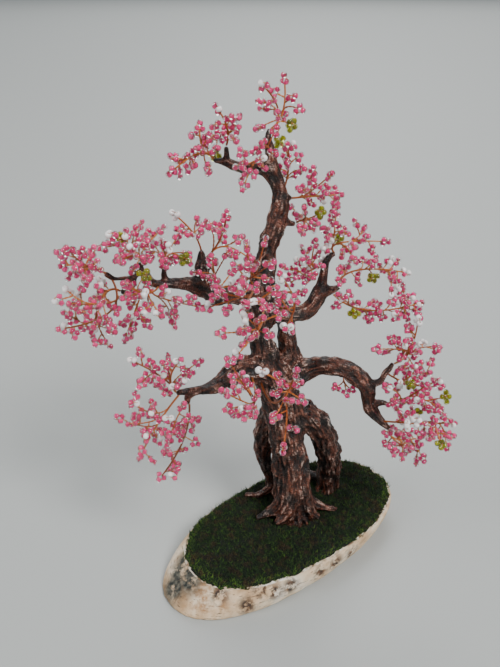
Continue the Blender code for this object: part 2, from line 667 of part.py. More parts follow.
def twisted_rings(bm, line, radii, last_heading, last_up):
    """Rings along a wire, turned evenly so that the last one faces its bloom."""
    rings = []
    up = last_up
    last = len(line) - 1
    for i in range(last, -1, -1):
        axis = last_heading if i == last else unit(line[i + 1] - line[max(i - 1, 0)])
        up = unit(up - axis * np.dot(up, axis))
        rings.append(ring_of_three(bm, line[i], axis, up, radii[i]))
    return rings[::-1]


def close_bloom(bm, ring, middle, heading, axis):
    """Three bead lobes in a loop, grown from the last ring of their stalk."""
    side = np.cross(heading, axis)
    lift = axis * BEAD_HALF_HEIGHT
    bead_up = []
    bead_down = []
    valleys = [None]
    for k in range(3):
        angle = math.pi + math.tau * (k + 0.5) / 3
        out = heading * math.cos(angle) + side * math.sin(angle)
        bead_up.append(bm.verts.new(middle + out * BEAD_REACH + lift))
        bead_down.append(bm.verts.new(middle + out * BEAD_REACH - lift))
        if k < 2:
            angle = math.pi + math.tau * (k + 1) / 3
            out = heading * math.cos(angle) + side * math.sin(angle)
            valleys.append(bm.verts.new(middle + out * VALLEY_REACH))
    top = bm.verts.new(middle + axis * LOOP_HALF_HEIGHT)
    bottom = bm.verts.new(middle - axis * LOOP_HALF_HEIGHT)
    for k in range(3):
        up, down = bead_up[k], bead_down[k]
        before, after = valleys[k], valleys[(k + 1) % 3]
        if before:
            for face in ((top, before, up), (before, bottom, down), (before, down, up)):
                bm.faces.new(face)
        if after:
            for face in ((top, up, after), (after, down, bottom), (after, up, down)):
                bm.faces.new(face)
    a, c, b = ring
    first_up, first_down = bead_up[0], bead_down[0]
    last_up, last_down = bead_up[2], bead_down[2]
    for face in ((a, top, first_up), (a, last_up, top), (b, first_up, first_down), (a, first_up, b),
                 (b, first_down, bottom), (b, bottom, c), (c, bottom, last_down), (c, last_down, last_up),
                 (a, c, last_up)):
        bm.faces.new(face)


def wire_shape(line, radii, bloom):
    """One wire or stalk with its bloom as a closed shape."""
    bm = bmesh.new()
    rings = twisted_rings(bm, line, radii, bloom.heading, bloom.axis)
    for low, high in zip(rings, rings[1:]):
        bridge(bm, low, high)
    bm.faces.new(rings[0])
    close_bloom(bm, rings[-1], bloom.middle, bloom.heading, bloom.axis)
    return bm


def seat_on_trunk(line, radii, bloom, surface):
    """Move a main wire's first point out along it until a small gap lies between it and the limb."""
    start = np.array(surface.find_nearest(Vector(line[0]))[0])
    heading = unit(line[1] - start)
    seat = 0.0
    for far in np.arange(0.0, SEAT_SEARCH, SEAT_STEP):
        line[0] = start + heading * far
        shape = wire_shape(line, radii, bloom)
        if BVHTree.FromBMesh(shape).overlap(surface):
            seat = far + SEAT_STEP
        shape.free()
    line[0] = start + heading * (seat + GAP)
    return line


def nearest_on(line, place):
    """The point of a run of straight pieces that is nearest to a place."""
    best = None
    for a, b in zip(line, line[1:]):
        t = np.clip(np.dot(place - a, b - a) / np.dot(b - a, b - a), 0.0, 1.0)
        point = a + (b - a) * t
        away = np.linalg.norm(point - place)
        if best is None or away < best[0]:
            best = (away, point)
    return best[1]


def bodies(bm):
    """Separate bodies of a mesh, each a set of vertices."""
    left = set(bm.verts)
    found = []
    while left:
        body = set()
        front = [left.pop()]
        while front:
            vert = front.pop()
            body.add(vert)
            for edge in vert.link_edges:
                other = edge.other_vert(vert)
                if other in left:
                    left.remove(other)
                    front.append(other)
        found.append(body)
    return found


def is_sound(bm):
    """Whether a mesh is one closed body."""
    return all(edge.is_manifold for edge in bm.edges) and len(bodies(bm)) == 1


def plain_faces(mesh):
    """A mesh without the spare corners that fusing leaves in flat faces; None if it isn't sound."""
    for angle in FLAT_ANGLES:
        bm = bmesh.new()
        bm.from_mesh(mesh)
        bmesh.ops.dissolve_limit(bm, angle_limit=math.radians(angle), verts=bm.verts, edges=bm.edges)
        spare = [vert for vert in bm.verts if len(vert.link_edges) == 2]
        bmesh.ops.dissolve_verts(bm, verts=spare)
        bmesh.ops.triangulate(bm, faces=bm.faces)
        sound = is_sound(bm)
        if sound:
            bm.to_mesh(mesh)
        bm.free()
        if sound:
            return mesh
    return None


def spray_pieces(name, wires, blooms, surface, sunk_radius):
    """Closed meshes of a spray's wires and bloom stalks, each sunk into the one that carries it."""
    meshes = []
    lines = {}
    for wire in wires:
        bloom = next(b for b in blooms if b.wire is wire and b.root is None)
        count = max(1, round(wire.length() / SEGMENT))
        line = wire.at(np.linspace(0, 1, count + 1))
        radii = np.linspace(WIRE_RADIUS * math.sqrt(wire.load), WIRE_RADIUS, count + 1)
        if wire.parent is None:
            line = seat_on_trunk(line, radii, bloom, surface)
        else:
            line[0] = nearest_on(lines[wire.parent], line[0])
            radii[0] = sunk_radius
        lines[wire] = line
        meshes.append(mesh_from(wire_shape(line, radii, bloom), name))
    for bloom in blooms:
        if bloom.root is not None:
            sunk = nearest_on(lines[bloom.wire], bloom.root)
            neck = bloom.middle - bloom.heading * LOOP_NECK
            stalk = wire_shape(np.array([sunk, neck]), (sunk_radius, WIRE_RADIUS), bloom)
            meshes.append(mesh_from(stalk, name))
    return meshes


def fused(name, meshes, collection):
    """One mesh from overlapping closed ones, by a Boolean union."""
    first = add_object(name, meshes[0], collection)
    rest = bpy.data.collections.new(name + "_pieces")
    bpy.context.scene.collection.children.link(rest)
    pieces = [add_object("%s_piece_%d" % (name, i), mesh, rest) for i, mesh in enumerate(meshes[1:])]
    fuse = first.modifiers.new("fuse", "BOOLEAN")
    fuse.operation = "UNION"
    fuse.operand_type = "COLLECTION"
    fuse.solver = "MANIFOLD"
    fuse.collection = rest
    bpy.context.view_layer.update()
    mesh = evaluated_mesh(first)
    remove_object(first)
    for piece in pieces:
        remove_object(piece)
    bpy.data.collections.remove(rest)
    return mesh


def make_spray(name, wires, blooms, surface, collection):
    """One spray; its roots are sunk a little differently where fusing leaves it unsound."""
    look = material(name + " beads and wire", (0.72, 0.14, 0.26), 0.3)
    for sunk_radius in SUNK_RADII:
        meshes = spray_pieces(name, wires, blooms, surface, sunk_radius)
        mesh = plain_faces(fused(name, meshes, collection))
        if mesh:
            return add_object(name, mesh, collection, look)
    raise ValueError(name + " doesn't fuse into one closed body")


def main():
    for old in list(bpy.data.objects):
        bpy.data.objects.remove(old)
    collection = bpy.data.collections.new("cherry_blossom_bonsai")
    cutters = bpy.data.collections.new("cutters")
    for made in (collection, cutters):
        bpy.context.scene.collection.children.link(made)
    make_slice(collection)
    make_moss(collection, cutters)
    trunk = make_trunk(collection)
    trunk_shape = bmesh.new()
    trunk_shape.from_mesh(trunk.data)
    bmesh.ops.scale(trunk_shape, vec=(1 / MM, 1 / MM, 1 / MM), verts=trunk_shape.verts)
    surface = BVHTree.FromBMesh(trunk_shape)
    trunk_shape.free()
    for name, (wires, blooms) in grow_all().items():
        make_spray("spray_" + name, wires, blooms, surface, collection)


main()
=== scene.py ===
"""Looks of the cherry blossom bonsai: glass beads, twisted copper wire, painted bark, moss and birch.

Sizes are in millimetres unless a name or a comment says otherwise.  The limbs and sprays grow by
the same rules and seed as in the part's source, so every bead and wire lies where its solid is.
More blooms are then added between those of the solids.
"""
import json
import math
import random

import bmesh
import bpy
import numpy as np
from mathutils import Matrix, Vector, noise
from mathutils.bvhtree import BVHTree

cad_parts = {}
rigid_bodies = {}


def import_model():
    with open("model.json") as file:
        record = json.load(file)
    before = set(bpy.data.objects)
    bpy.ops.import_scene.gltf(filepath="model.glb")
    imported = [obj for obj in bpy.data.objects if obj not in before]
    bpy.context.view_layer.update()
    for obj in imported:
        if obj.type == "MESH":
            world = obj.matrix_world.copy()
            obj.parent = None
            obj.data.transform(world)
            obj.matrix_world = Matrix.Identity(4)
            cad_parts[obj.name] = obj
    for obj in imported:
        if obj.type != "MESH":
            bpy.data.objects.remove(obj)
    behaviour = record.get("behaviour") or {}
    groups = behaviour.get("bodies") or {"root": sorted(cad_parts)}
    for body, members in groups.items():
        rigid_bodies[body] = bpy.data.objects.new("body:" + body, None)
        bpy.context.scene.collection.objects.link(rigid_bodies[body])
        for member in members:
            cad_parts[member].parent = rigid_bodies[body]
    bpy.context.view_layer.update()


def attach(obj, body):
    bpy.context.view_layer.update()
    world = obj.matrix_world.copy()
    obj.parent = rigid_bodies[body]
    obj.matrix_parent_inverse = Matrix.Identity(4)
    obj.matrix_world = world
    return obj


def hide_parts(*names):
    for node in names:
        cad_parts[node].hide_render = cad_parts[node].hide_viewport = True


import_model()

MM = 0.001

# Seeds of the random draws: growth as in the solids, added blooms, beads and moss
SEED = 11
SPRAY_SEED = SEED * 1000
FILL_SEED = SEED * 3000
BEAD_SEED = SEED * 7000
MOSS_SEED = SEED + 5

# Birch slice and moss
SLICE_ANGLE = math.radians(37)
SLICE_LEAN = (10.0, 0.5)
SLICE_POWER = 2.3

# Outline of the slice from its underside up: height, half length, half width, share of its lean
SLICE_SECTIONS = [(0.0, 60.5, 28.5, 0.0), (1.6, 61.7, 30.1, 0.1), (6.0, 61.3, 31.5, 0.5),
                  (10.2, 59.6, 31.4, 0.95), (11.0, 58.4, 30.4, 1.0)]
SLICE_TOP = SLICE_SECTIONS[-1][0]
MOSS_HALF = (57.0, 29.0)
MOSS_TOP = 13.8
GAP = 0.3

# Beads, blooms and wire
BEAD_WIDTH = 2.4
BLOOM_BEADS = 3
LOOP_RADIUS = 1.5
LOOP_NECK = 0.9
BLOOM_RADIUS = LOOP_RADIUS + BEAD_WIDTH / 2
STALK_LENGTH = (2.6, 4.2)
STALK_ANGLE = math.radians(55)
BLOOM_STEP = 6.1
BLOOM_STRAY = (0.85, 1.2)
BLOOM_REACH = 15.0
BARE_ROOT = 2.0
GOLDEN_ANGLE = math.radians(137.5)

# Room that wires and blooms keep from the trunk, from other sprays and from their own
TRUNK = -1
WIRE_BODY = 0.75
WIRE_GAP = 0.6
BLOOM_GAP = 0.5
TRUNK_GAP = 1.0
OWN_GAP = 0.2
OWN_OVERLAP = 0.2
ROOT_REACH = 5.0
START_REACH = 4.0

# How a wire's way is looked for: its places tested, and how far each new try strays
WIRE_PLACES = np.linspace(0, 1, 24)
WIRE_TRIES = 90
TIP_STRAY = 0.06
BOW = 0.05
BOW_STRAY = 0.008
FIRST_PULL = 0.45
TIP_PULL = 0.6
SIDE_TRIES = 9

# Where a twig may leave a wire, as parts of its length, and what makes a place a bad one
FORKS = (0.2, 0.35, 0.5, 0.65, 0.8)
WAY_COST = 0.5
TURN_COST = 9
STRAIGHT_ENOUGH = 0.35

# Trunk: round limbs, fine mesh, smoothing of thick joints and the bark's direction
LIMB_RESOLUTION = 8
FINE_VOXEL = 0.53
WELD = 1e-7
SPHERE_STEP = 1.2
REMESH_SMOOTHING = 4
SOFT_PULL = 0.5
SOFT_THICK = (2.5, 4.5)
SOFT_ROUNDS = 45
GRAIN_CHUNK = 4000
GRAIN_BLEND = 0.8
GRAIN_SENSE = np.array((0.5, 0.2, 1.0))

# Bark relief: the size of each kind across the grain and its reach along it, how high each kind
# stands, its depth for the limb's radius, and how strongly it shows in the paint and in its painted shade
# and light
KNOBS = (5.0, 1.5)
RIDGES = (2.4, 2.2)
FLECKS = (1.4, 1.3)
FLECK_SHIFT = 50
KNOB_HEIGHT = 1.25
RIDGE_HEIGHT = 0.9
FLECK_HEIGHT = 0.6
DRAWN_SAMPLES = 5
BARK_DEPTH = 0.105
BARK_DEPTH_LIMITS = (0.18, 0.72)
BARK_SINK = 0.3
KNOBS_IN_PAINT_AND_SHADE = 0.7
RELIEF_SPAN = 0.33
STREAK_SHARES = (-1.0, -0.4, 0.4, 1.0)

# Beads: outlines in radius and height round the hole, of the clear glass and of its coloured lining
SHELL_OUTLINE = [(0.30, -0.80), (0.66, -0.98), (1.06, -0.82), (1.27, -0.36), (1.27, 0.36), (1.06, 0.82),
                 (0.66, 0.98), (0.30, 0.80)]
LINING_OUTLINE = [(0.36, -0.78), (0.50, -0.84), (0.62, -0.50), (0.62, 0.50), (0.50, 0.84), (0.36, 0.78)]
SHELL_SIDES = 10
LINING_SIDES = 8
BEAD_SIZES = (0.93, 1.04)
BEAD_TILT = 0.15
LEAF_LIFT = 1.9
LEAF_STRAY = 0.5

# The looks of the beads, as numbered in a spray's piece
PINK_LINING, PINK_GLASS, WHITE_GLASS, LEAF_LINING, LEAF_GLASS = range(5)

# Copper wire: strands twisted round each other, and how far off a wire's middle they lie
STRAND_RADIUS = 0.19
STRAND_SIDES = 4
STRAND_STEP = 0.6
TWIST_LENGTH = 3.4
STRAND_OFFSETS = {2: 0.19, 3: 0.24, 4: 0.31}
MANY_BLOOMS = 4
LOOP_WIRE_RADIUS = 0.15
LOOP_SIDES = 4
LOOP_STEPS = 12

# More blooms between those of the solids, by the start of a spray's name: distance between tries.
# Then the first of these distances, the bare part of a twig, the farthest from its tip, the stalk,
# its angle, how much a bloom may overlap its own spray and how far it keeps from the rest
FILL_STEPS = {"mid_left": 3.6, "top_left": 4.2, "leader": 7.0, "upper": 4.4, "mid_right": 4.2,
              "lower_left": 5.5, "lower_right": 5.0}
FILL_START = (0.3, 1.0)
FILL_ROOT = 1.0
FILL_REACH = 24.0
FILL_TRIES = 6
FILL_STALK = (2.0, 5.0)
FILL_ANGLE = (math.radians(40), math.radians(95))
FILL_OVERLAP = 0.6
FILL_GAP = 0.2

# White beads: their share among the pink ones, the share of white blooms, the share of a white bloom's
# beads that are white, and the pixels where the photograph shows white blooms, with a reach in pixels
WHITE_BEADS = 0.045
WHITE_BLOOMS = 0.02
WHITE_IN_BLOOM = 0.6
WHITE_PIXELS = [(343, 229), (400, 273), (413, 302), (418, 305), (134, 363), (174, 381), (190, 363),
                (265, 253), (262, 258), (207, 303), (211, 309), (250, 317), (285, 321), (323, 256),
                (342, 295), (320, 176), (287, 190), (263, 157), (184, 150), (222, 116), (176, 220),
                (106, 256), (103, 281), (72, 294), (92, 333), (148, 297), (168, 273), (417, 340),
                (404, 343), (422, 323), (415, 371), (405, 424), (447, 430), (262, 373), (266, 384)]
WHITE_REACH = 7.0

# Birch slice: points round it, step up its side and roughness of its bark, which has bulges and
# finer cracks, so many round it and so long up its side
SLICE_COLUMNS = 300
SLICE_STEP = 0.8
SLICE_ROUGHNESS = 0.35
SLICE_INSET = 0.4
BULGE_TIMES = 9
BULGE_RISE = 5
CRACK_TIMES = 30
CRACK_RISE = 1.6
CRACK_LAYER = 9
CRACK_SHARE = 0.5

# Marks on the bark, at the pixels where the photograph shows them, with their reach in metres and
# the part of it that they cover fully
LICHEN_PIXELS = [(174, 588), (181, 572), (190, 580), (188, 562)]
LICHEN_REACH = 0.010
RUST_PIXELS = [(198, 598), (214, 608), (208, 592)]
RUST_REACH = 0.010
SCAR_PIXELS = [(220, 595), (247, 606), (262, 590), (275, 592), (291, 586), (321, 571), (336, 563),
               (352, 553)]
SCAR_REACH = 0.0055
MARK_CORE = 0.35

# Torn lip of bark round the moss: its height and how raggedly it varies, its thickness and its foot
RIM_COLUMNS = 640
RIM_TIMES = (26, 90)
RIM_HEIGHT = (0.1, 1.7)
RIM_RAGGED = 1.6
RIM_THICKNESS = 0.7
RIM_FOOT = 2.4

# Moss: how its edge strays, hangs over and falls off, its lumps, its bed and its blades
MOSS_COLUMNS = 220
MOSS_RINGS = 26
MOSS_SPREAD = 1.0
MOSS_OVERHANG = 1.0
MOSS_SHOULDER = 0.86
MOSS_FALL = 1.9
MOSS_LUMPS = 1.5
BED_SINK = 0.4
BED_FOOT = 0.995
BED_CLEARANCE = 0.1
MOSS_BLADES = 34000
BLADE_HEIGHT = (0.5, 1.7)
BLADE_LEAN = 1.5
BLADE_RADIUS = 0.24
BLADE_SINK = 0.5
CLUMP_SIZE = 1.6
EDGE_SHARE = 0.93
EDGE_BRIGHTNESS = 0.3

# Colours; those with shades in them have the place of each shade on a ramp before it
CLEARNESS = 0.98
PINK_GLASS_COLOUR = (1.0, 0.97, 0.98)
PINK_SHADES = [(0.0, (0.76, 0.004, 0.13)), (0.5, (0.90, 0.010, 0.17)), (1.0, (1.0, 0.04, 0.25))]
LEAF_GLASS_COLOUR = (0.82, 0.86, 0.30)
LEAF_SHADES = [(0.0, (0.16, 0.15, 0.003)), (0.5, (0.36, 0.34, 0.005)), (1.0, (0.52, 0.52, 0.015))]
WHITE_SHADES = [(0.0, (0.80, 0.76, 0.74)), (1.0, (0.92, 0.88, 0.87))]
COPPER_SHADES = [(0.15, (0.22, 0.055, 0.02)), (0.5, (0.50, 0.13, 0.03)), (0.85, (0.72, 0.24, 0.06))]
BARK_SHADES = [(0.32, (0.018, 0.011, 0.009)), (0.43, (0.052, 0.021, 0.013)),
               (0.55, (0.135, 0.034, 0.015)), (0.70, (0.044, 0.022, 0.015))]
BRUSHED_PAINT = (0.56, 0.42, 0.35)
BIRCH_SHADES = [(0.30, (0.46, 0.28, 0.14)), (0.46, (0.70, 0.50, 0.31)),
                (0.60, (0.80, 0.65, 0.47)), (0.75, (0.84, 0.76, 0.64))]
SCAR_SHADES = [(0.4, (0.03, 0.018, 0.014)), (0.65, (0.20, 0.10, 0.045))]
RUST_COLOUR = (0.36, 0.17, 0.055)
LICHEN_SHADES = [(0.42, (0.010, 0.014, 0.012)), (0.62, (0.13, 0.12, 0.09))]
TORN_SHADES = [(0.38, (0.22, 0.13, 0.07)), (0.50, (0.62, 0.50, 0.36)), (0.68, (0.84, 0.78, 0.68))]
GREEN_SHADES = [(0.25, (0.001, 0.003, 0.001)), (0.48, (0.006, 0.018, 0.003)),
                (0.70, (0.020, 0.056, 0.006)), (0.88, (0.085, 0.165, 0.016))]
BROWN_SHADES = [(0.25, (0.004, 0.003, 0.002)), (0.80, (0.075, 0.040, 0.016))]

# Camera: place in metres, pitch below the horizon and focal length in pixels of the 500 x 667 frame
CAMERA_PLACE = (-0.013, -0.255, 0.253)
CAMERA_PITCH = math.radians(28)
FOCAL_PIXELS = 700.0
FRAME_PIXELS = (500, 667)
SENSOR = 36.0

# Studio: lamps with place in metres, size in metres and power in watts, then floor and surroundings
LAMPS = {"key": ((1.8, -2.2, 3.0), 1.5, 168.0), "fill": ((-2.8, -1.2, 1.9), 2.1, 64.0),
         "rim": ((0.5, 4.4, 3.2), 3.4, 148.0)}
LAMP_AIM = (0, 0, 0.1)
FLOOR_SIZE = 40.0
FLOOR_COLOUR = (0.40, 0.415, 0.40)
BACKDROP_COLOUR = (0.72, 0.77, 0.82)
BACKDROP_STRENGTH = 0.47

# Limbs, roots and root strands: centre line x, y, z and radius at each point
LIMBS = {
    "stem": [
        (10, 8, 9, 10.5), (9.5, 7.5, 14, 9.6), (7, 8, 24, 8.4), (6, 8, 34, 8.2), (5, 9, 51, 8.0),
        (3, 10, 67, 8.6), (0, 11, 82, 9.0), (-6, 10, 98, 6.8), (-8.7, 9, 111, 4.9), (-8, 10, 122, 6.0),
        (-7, 12, 132, 6.0), (-7.2, 14, 140, 4.8), (-6, 16, 147, 4.3), (-3.6, 17, 155, 4.3),
        (-1.7, 18, 162, 4.1), (-1, 19, 169, 3.6), (-2.3, 19, 176, 3.0), (-4.7, 19, 182, 2.5),
        (-5.2, 19, 188, 2.0), (-6.1, 19, 193, 1.4), (-5.3, 20, 196, 1.0)],
    "second_stem": [
        (1.5, 14, 83, 6.8), (4.4, 16, 96.5, 5.4), (3, 16, 108, 4.4), (1.7, 15, 117, 4.0),
        (-2, 13, 126.5, 4.2)],
    "back_leg": [
        (-1.5, 14, 73, 5.5), (-6, 20, 57, 4.8), (-7, 23, 42, 4.4), (-5, 24, 30, 3.6), (-2.5, 24, 20, 3.0),
        (-1, 24, 9, 3.4)],
    "right_leg": [
        (10, 11, 73, 6.0), (19, 16, 60, 6.4), (24.5, 20, 44, 6.3), (26.6, 24, 30, 5.8), (27, 26, 18, 5.6),
        (27, 26, 9, 6.4)],
    "front_left_root": [
        (5, 3.5, 40, 3.6), (3, 2, 28, 3.8), (0, 3, 21, 3.4), (-5, 3, 17.4, 2.3), (-10, 1.5, 15.6, 1.3)],
    "front_root": [
        (8, 3.5, 56, 3.8), (7.5, 2, 40, 3.8), (7, 0.5, 26, 3.8), (4, -0.5, 19, 3.0), (-1, -2.4, 15.9, 1.6)],
    "front_right_root": [
        (11.5, 6, 50, 3.6), (12, 4, 34, 3.6), (14.5, 3, 23, 3.2), (17, 3, 18, 2.4), (20.5, 2.5, 15.7, 1.4)],
    "right_root": [(13, 8, 30, 3.4), (17, 9, 20, 3.0), (23, 8.5, 16.6, 2.0), (30, 8.5, 15.3, 1.1)],
    "left_root": [(-1, 23, 17, 2.2), (-8, 18.5, 16, 1.6), (-15.5, 19, 15.2, 1.0)],
    "back_root": [(24, 28, 18, 3.0), (20, 33, 16.2, 2.0), (16, 38, 15.2, 1.0)],
    "lower_left": [
        (-7, 8, 94, 6.6), (-16, 5, 98, 5.6), (-21.6, 1, 96, 4.7), (-26, -3, 95, 3.6), (-31, -7, 95, 2.4),
        (-35.7, -11, 96.4, 1.9), (-39.5, -14, 98, 1.5), (-42.6, -16, 98.6, 1.1)],
    "lower_left_hook": [(-37, -12, 96.4, 1.6), (-39, -13, 94, 1.3), (-38, -14, 92.2, 1.1)],
    "lower_right": [
        (5, 13, 89, 6.7), (12, 12, 93, 4.9), (18, 10, 96, 4.2), (23.6, 8, 97, 4.4), (29.6, 6, 96, 4.6),
        (34.7, 4, 93, 4.3), (38.2, 2, 88.5, 3.5), (38.5, 1, 83.5, 2.8), (40.5, 0, 79, 3.0),
        (43.7, -1, 75.4, 2.0), (48.3, -2, 71.3, 1.2)],
    "lower_right_rise": [
        (39, 3, 90.5, 2.2), (43.3, 3, 92.5, 1.6), (45, 4, 95.5, 1.4), (47, 4, 98, 1.3),
        (48.5, 5, 100.4, 1.0)],
    "lower_right_stub": [(40, 1, 82, 2.2), (43.6, 0, 83.4, 1.5), (46.7, 0, 83, 1.1)],
    "mid_right": [
        (-3.7, 11, 122, 5.1), (3.2, 12, 120, 3.7), (9.4, 15, 119.2, 3.3), (13.3, 17, 121, 3.5),
        (16, 19, 124.7, 3.7), (18, 21, 129.4, 2.8), (18.8, 23, 134.2, 2.0), (19.5, 24, 139.3, 1.7),
        (21.2, 25, 141.7, 1.4), (23.3, 25, 143, 1.1)],
    "mid_right_stub": [
        (17, 19, 127.5, 3.0), (21, 21, 127.5, 2.4), (24, 22, 127.8, 1.5), (25.5, 22, 129, 1.1)],
    "mid_left": [
        (-7, 11, 127.5, 5.9), (-14, 8, 130.7, 4.3), (-20, 4, 132.6, 3.9), (-26, 1, 134, 4.0),
        (-31, -2, 138.4, 3.8), (-35.7, -4, 141.5, 3.1), (-40, -6, 142.6, 2.4), (-44.6, -8, 143.7, 1.9),
        (-48.7, -9, 143.7, 1.6), (-51.3, -9, 145, 1.5), (-52.1, -10, 148, 1.4), (-54, -11, 149.5, 1.4),
        (-56.3, -12, 148.7, 1.4), (-57.5, -12, 145.5, 1.4), (-59.2, -13, 143, 1.4), (-62, -14, 142.6, 1.0)],
    "mid_left_stub": [
        (-31.6, -2, 140, 3.6), (-31.8, -1, 146, 3.0), (-32, 0, 150.4, 1.8), (-32, 0, 154, 1.1)],
    "mid_left_spur": [(-31.5, -1, 145.3, 2.6), (-29.8, -1, 147.2, 1.5), (-28, -1, 147.4, 1.0)],
    "mid_left_rise": [(-53.4, -11, 149, 1.2), (-54, -11, 151.6, 1.1), (-54.4, -11, 153.6, 0.9)],
    "mid_left_far": [
        (-57.2, -12, 147, 1.3), (-60.2, -14, 148, 1.1), (-63.5, -16, 149, 1.0), (-66, -18, 152, 0.9)],
    "mid_left_knob": [(-45.3, -8, 144.5, 1.4), (-46, -8, 147.4, 1.2), (-46, -8, 149.7, 1.0)],
    "top_left": [
        (-3.5, 19, 177, 2.8), (-6.7, 18.5, 180, 2.5), (-10.6, 18, 181, 2.2), (-15, 17, 181.5, 2.1),
        (-18.4, 16, 182.7, 2.0), (-22.3, 15, 184.5, 1.7), (-25, 14.5, 185.2, 1.3), (-27.2, 14, 185.5, 1.0)],
    "top_left_stub": [(-22, 15, 185, 1.5), (-22, 15, 188, 1.2), (-22, 15, 190.6, 0.9)],
    "upper_knob": [(-1, 19, 169.4, 3.2), (2.4, 21, 168.4, 1.7), (3.8, 21.5, 168, 1.0)],
    "upper_spur": [(-0.4, 18, 160, 2.8), (3, 20, 158.2, 1.5), (5.5, 21, 157.6, 0.9)],
}

